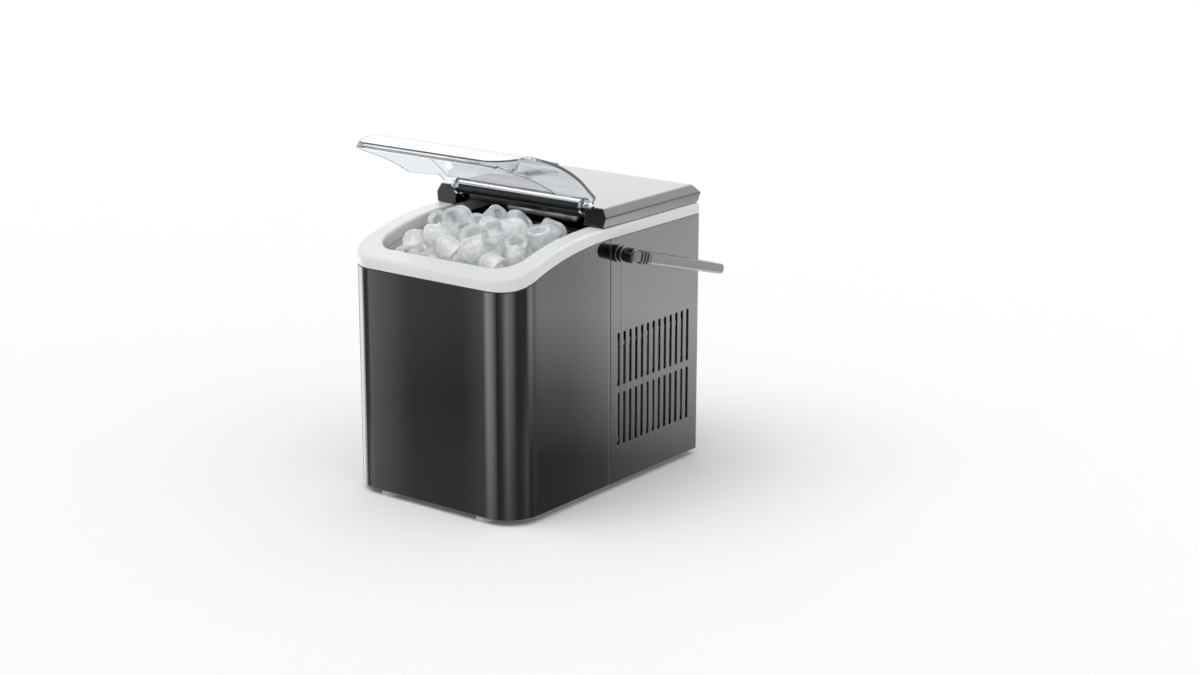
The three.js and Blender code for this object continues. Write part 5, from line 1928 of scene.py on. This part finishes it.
@dataclass
class Fittings:
    """The power inlet and the drain spout with its plug."""

    lines: Lines
    flange: float = 5.0
    proud: float = 3.0
    skin: float = 2.0
    pin: float = 1.6
    bore: float = 4.6
    blades: tuple[Point, ...] = ((-7.0, -1.6), (0.0, 2.2), (7.0, -1.6))
    notches: int = 16

    def build(self) -> None:
        """Makes and dresses every piece."""
        self.inlet()
        self.drain()

    def inlet(self) -> None:
        """A snap-in inlet with a keyed socket and three blade pins."""
        box = Box.of("power_inlet")
        low, high = box.low, box.high
        face = self.lines.rear_y + self.lines.fit
        flange = rounded(low.x, low.z, high.x, high.z, 3.5, steps=6)
        plate = Solid.extrude(flange, face, high.y, Axis.Y)
        left, right = low.x + self.flange, high.x - self.flange
        foot, top = low.z + self.proud, high.z - self.proud
        keyed = [
            (left, foot),
            (right, foot),
            (right, top - 5),
            (right - 5, top),
            (left + 5, top),
            (left, top - 5),
        ]
        body = Solid.extrude(keyed, low.y, face + 0.5, Axis.Y)
        s = self.skin
        socket = [
            (left + s, foot + s),
            (right - s, foot + s),
            (right - s, top - 5.6),
            (right - 5.6, top - s),
            (left + 5.6, top - s),
            (left + s, top - 5.6),
        ]
        shape = plate.join(body).cut(Solid.extrude(socket, low.y + s, high.y + 1, Axis.Y))
        middle = box.middle
        pins = []
        for x, z in self.blades:
            at = (middle.x + x, middle.z + z)
            blade = rounded(at[0] - 1, at[1] - 2.2, at[0] + 1, at[1] + 2.2, 0.6, steps=3)
            pins.append(Solid.extrude(blade, low.y + 1, high.y - 2.5, Axis.Y))
        place(shape.join(*pins), "power_inlet", "body", SATIN_BLACK, edge=0.3)

    def drain(self) -> None:
        """The drain spout through the body's side, with its ribbed pull plug."""
        spout, plug = Box.of("drain_spout"), Box.of("drain_plug")
        outer, inner = spout.low.x, spout.high.x
        face = -self.lines.half - self.lines.fit
        r = (spout.high.z - spout.low.z) / 2
        profile = [
            (self.bore, outer),
            (r - 0.6, outer),
            (r, outer + 0.6),
            (r, face),
            (r - 1.4, face),
            (r - 1.4, inner),
            (self.bore, inner),
        ]
        tube = Solid.turned(profile, (0, spout.middle.y, spout.middle.z), Axis.X, 40, ring=True)
        place(tube, "drain_spout", "body", SATIN_BLACK, edge=0.2)
        low, high = plug.low.x, plug.high.x
        head = (plug.high.z - plug.low.z) / 2
        stem = self.bore - 0.5
        seat = outer - self.lines.fit
        profile = [
            (0, low),
            (head - 0.9, low),
            (head, low + 0.8),
            (head, seat),
            (stem, seat),
            (stem, seat + 2.4),
            (stem - 0.5, seat + 3),
            (stem - 0.5, seat + 4),
            (stem, seat + 4.6),
            (stem, high - 1),
            (stem - 1, high),
            (0, high),
        ]
        cap = Solid.turned(profile, (0, plug.middle.y, plug.middle.z), Axis.X, 40)
        grips = []
        for i in range(self.notches):
            a = 2 * math.pi * i / self.notches
            at = (0, plug.middle.y + head * math.cos(a), plug.middle.z + head * math.sin(a))
            grips.append(Solid.rod(0.7, low - 1, seat - 0.8, at, Axis.X, 10))
        place(cap.cut(Solid.group(grips)), "drain_plug", "plug", BLACK_RUBBER, edge=0.2)


class Inside:
    """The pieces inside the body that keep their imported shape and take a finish."""

    finishes = {
        "insulation_jacket": FOAM,
        "compressor": ENAMEL,
        "compressor_mount_1": BLACK_RUBBER,
        "compressor_mount_2": BLACK_RUBBER,
        "compressor_mount_3": BLACK_RUBBER,
        "discharge_line": COPPER,
        "liquid_line": COPPER,
        "filter_drier": COPPER,
        "capillary_line": COPPER,
        "suction_line": COPPER,
        "condenser": FINS,
        "fan_shroud": SATIN_BLACK,
        "fan_motor": ZINC,
        "fan": SATIN_BLACK,
        "control_board": BOARD,
        "water_pump": SATIN_BLACK,
        "water_hose": SILICONE,
        "drain_hose": SILICONE,
    }

    def build(self) -> None:
        """Gives each piece its finish."""
        for node, finish in self.finishes.items():
            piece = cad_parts[node]
            piece.data.materials.clear()
            piece.data.materials.append(finish.material())
            LOG.info("%s keeps its shape in %s", node, finish.name)


# ---- Studio ----------------------------------------------------------------------------------


@dataclass
class Studio:
    """A pale floor, a camera and soft light, with the strip lights and cards that gloss surfaces mirror.

    Each row of cards is (elevation in degrees, ((azimuth, brightness), ...)). Azimuth 0 lies before the
    machine's front and 90 on its right. The glass row is (share of the way from nadir to zenith, brightness).
    """

    place: tuple[float, float, float] = (1.4298, -1.7633, 0.7714)
    yaw: float = 0.6486
    pitch: float = 0.2697
    roll: float = 0.0021
    lens: float = 67.57
    ambient: float = 0.6
    sun: float = 1.2
    fill_share: float = 0.35
    brightest: float = 8.0
    cards: tuple[tuple[float, tuple[Point, ...]], ...] = (
        (-28.0, ((-180, 2.0), (-90, 1.5), (0, 1.0), (120, 4.0), (143, 4.6), (165, 4.0), (180, 3.0))),
        (-22.5, ((-180, 0.6), (-90, 0.8), (0, 0.5), (110, 0.25), (180, 0.4))),
        (
            -18.5,
            (
                (-180, 0.8), (-148, 0.7), (-133, 0.5), (-118, 0.9), (-103, 3.7), (-88, 3.0), (-73, 0.16),
                (-58, 1.4), (-43.2, 1.9), (-42.5, 0.7), (-42, 0.5), (-40.3, 0.5), (-40.1, 1.4), (-25, 3.3),
                (-10, 2.5), (5, 0.3), (20, 0.6), (35, 2.3), (50, 1.3), (65, 0.45), (81, 0.55), (96, 1.3),
                (111, 0.34), (126, 0.6), (141, 0.3), (143, 0.35), (143.2, 0.6), (146, 1.2), (180, 1.0),
            ),
        ),
        (
            -16.9,
            (
                (-180, 0.85), (-148, 0.7), (-133, 0.5), (-118, 0.9), (-103, 3.5), (-88, 4.3), (-73, 0.2),
                (-58, 0.6), (-43.2, 2.1), (-42.9, 1.6), (-42.5, 0.7), (-42, 0.4), (-40.3, 0.4),
                (-40.1, 1.7), (-25, 4.2), (-10, 3.0), (5, 0.3), (20, 0.7), (35, 2.9), (50, 1.9), (65, 0.4),
                (81, 0.45), (96, 0.8), (111, 1.6), (126, 0.9), (141, 0.9), (143, 0.95), (143.2, 1.9),
                (146, 2.4), (180, 1.5),
            ),
        ),
        (
            -14.8,
            (
                (-180, 0.9), (-148, 0.7), (-133, 0.5), (-118, 0.9), (-103, 3.4), (-88, 5.6), (-73, 0.35),
                (-58, 0.4), (-43.2, 2.5), (-42.9, 2.0), (-42.5, 0.94), (-42, 0.65), (-40.3, 0.65),
                (-40.1, 2.2), (-25, 5.2), (-10, 3.6), (5, 0.33), (20, 1.0), (35, 3.9), (50, 2.7),
                (65, 0.5), (81, 0.55), (96, 0.5), (111, 4.1), (126, 2.0), (141, 2.4), (143, 2.5),
                (143.2, 3.4), (146, 3.6), (180, 2.0),
            ),
        ),
        (
            4.0,
            (
                (-180, 2.0), (-143, 2.0), (-90, 0.5), (-44, 1.7), (-40, 1.4), (-38, 0.3), (20, 0.3),
                (90, 1.0), (180, 2.0),
            ),
        ),
        (14.0, ((-180, 1.9), (-143, 2.3), (-90, 1.2), (0, 0.6), (90, 1.6), (180, 1.9))),
        (
            17.0,
            ((-180, 1.6), (-143, 2.3), (-90, 1.2), (0, 0.6), (90, 1.6), (140, 4.2), (150, 4.2), (180, 1.6)),
        ),
        (
            25.0,
            ((-180, 0.4), (-143, 1.0), (-90, 1.0), (0, 0.6), (90, 1.6), (150, 4.4), (168, 0.5), (180, 0.4)),
        ),
        (35.0, ((-180, 6.0), (-143, 3.0), (-90, 1.5), (0, 1.0), (90, 2.0), (163, 7.4), (180, 6.0))),
        (90.0, ((-180, 1.6), (180, 1.6))),
    )
    glass: tuple[Point, ...] = ((0.0, 0.9), (0.38, 0.8), (0.5, 0.22), (0.62, 0.35), (0.78, 1.0), (1.0, 1.0))

    def build(self) -> None:
        """Makes the floor, the camera, the light and the world."""
        self.floor()
        self.camera()
        self.light()
        self.world()
        view = bpy.context.scene.view_settings
        view.view_transform = "Standard"
        view.look = "None"

    def floor(self) -> None:
        """A pale matt floor with a faint mottle."""
        bpy.ops.mesh.primitive_circle_add(vertices=96, radius=9.0, fill_type="NGON")
        floor = bpy.context.object
        floor.name = "studio_floor"
        finish = Finish(
            "matt_paper", "white_plastic", "#f6f6f7", 0.8, mottle=0.004, mottle_mm=140.0, smudge=0.05,
            grain=0.01, grain_mm=2.0,
        )
        floor.data.materials.append(finish.material())
        floor.visible_glossy = False

    def camera(self) -> None:
        """The camera, set by its place and angles."""
        yaw, pitch = self.yaw, self.pitch
        ahead = Vector((-math.sin(yaw) * math.cos(pitch), math.cos(yaw) * math.cos(pitch), -math.sin(pitch)))
        right = Vector((math.cos(yaw), math.sin(yaw), 0))
        up = right.cross(ahead)
        turn = Matrix((right, up, -ahead)).transposed().to_4x4()
        data = bpy.data.cameras.new("camera")
        data.lens = self.lens
        data.clip_start, data.clip_end = 0.05, 50
        camera = bpy.data.objects.new("camera", data)
        camera.matrix_world = Matrix.Translation(self.place) @ turn @ Matrix.Rotation(self.roll, 4, "Z")
        bpy.context.scene.collection.objects.link(camera)
        bpy.context.scene.camera = camera

    def light(self) -> None:
        """A wide soft light from above, the front and the left."""
        for name, strength, spread, way in (
            ("key", self.sun, 50, (-0.35, -0.45, 1.0)),
            ("fill", self.sun * self.fill_share, 80, (0.7, -0.2, 0.7)),
        ):
            data = bpy.data.lights.new(name, "SUN")
            data.energy = strength
            data.angle = math.radians(spread)
            light = bpy.data.objects.new(name, data)
            light.rotation_euler = Vector(way).to_track_quat("Z", "Y").to_euler()
            light.visible_glossy = False
            bpy.context.scene.collection.objects.link(light)

    def world(self) -> None:
        """White behind the object, even light on it, and the cards for what it mirrors."""
        world = bpy.data.worlds.new("studio")
        world.use_nodes = True
        bpy.context.scene.world = world
        tree = world.node_tree
        tree.nodes.clear()
        mirrored = self.mirrored(tree)
        cards = add_node(tree, "ShaderNodeBackground", {"Color": mirrored})
        cards.inputs["Strength"].default_value = self.brightest
        even = add_node(tree, "ShaderNodeBackground", Strength=self.ambient, Color=(1, 1, 1, 1))
        white = add_node(tree, "ShaderNodeBackground", Strength=1.0, Color=(1, 1, 1, 1))
        path = add_node(tree, "ShaderNodeLightPath")
        through = add_node(tree, "ShaderNodeBackground", {"Color": self.refracted(tree)}, Strength=1.0)
        seen = even
        for ray, shade in (("Glossy", cards), ("Transmission", through), ("Camera", white)):
            links = {0: path.outputs[f"Is {ray} Ray"], 1: seen.outputs[0], 2: shade.outputs[0]}
            seen = add_node(tree, "ShaderNodeMixShader", links)
        add_node(tree, "ShaderNodeOutputWorld", {"Surface": seen.outputs[0]})

    def mirrored(self, tree: bpy.types.NodeTree) -> bpy.types.NodeSocket:
        """The cards as a colour that depends on the way a reflection looks.

        Args:
            tree: The world's node tree.

        Returns:
            The colour's socket.
        """
        way = add_node(tree, "ShaderNodeTexCoord")
        split = add_node(tree, "ShaderNodeSeparateXYZ", {0: way.outputs["Generated"]})
        ahead = add_node(tree, "ShaderNodeMath", {0: split.outputs["Y"]}, operation="MULTIPLY")
        ahead.inputs[1].default_value = -1
        sides = {0: split.outputs["X"], 1: ahead.outputs[0]}
        turn = add_node(tree, "ShaderNodeMath", sides, operation="ARCTAN2")
        share = remap(tree, turn.outputs[0], (-math.pi, math.pi))
        rise = add_node(tree, "ShaderNodeMath", {0: split.outputs["Z"]}, operation="ARCSINE")
        made, below = None, 0.0
        for elevation, stops in self.cards:
            row = add_node(tree, "ShaderNodeValToRGB", {"Fac": share})
            fill_ramp(row.color_ramp, [((a + 180) / 360, b / self.brightest) for a, b in stops])
            if made is None:
                made = row.outputs[0]
            else:
                band = (math.radians(below), math.radians(elevation))
                made = blend(tree, remap(tree, rise.outputs[0], band), made, row.outputs[0])
            below = elevation
        return made

    def refracted(self, tree: bpy.types.NodeTree) -> bpy.types.NodeSocket:
        """What clear pieces bend into view: bright above, with a dark band at the horizon."""
        way = add_node(tree, "ShaderNodeTexCoord")
        split = add_node(tree, "ShaderNodeSeparateXYZ", {0: way.outputs["Generated"]})
        share = remap(tree, split.outputs["Z"], (-1.0, 1.0))
        row = add_node(tree, "ShaderNodeValToRGB", {"Fac": share})
        fill_ramp(row.color_ramp, self.glass)
        return row.outputs[0]


def write_sizes() -> None:
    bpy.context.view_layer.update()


def main() -> None:
    """Builds every piece and the studio."""
    logging.basicConfig(level=logging.INFO, format="%(message)s")
    lines = Lines()
    makers: list[Callable[[], None]] = [
        Housing(lines).build,
        Rim(lines).build,
        Bin(lines).build,
        Basket().build,
        Ice(lines).build,
        Cover(lines).build,
        Controls().build,
        Lid(lines).build,
        Handle(lines).build,
        IceMaking(lines).build,
        Fittings(lines).build,
        Inside().build,
        Studio().build,
    ]
    for make in makers:
        make()
    write_sizes()


if __name__ == "__main__":
    main()
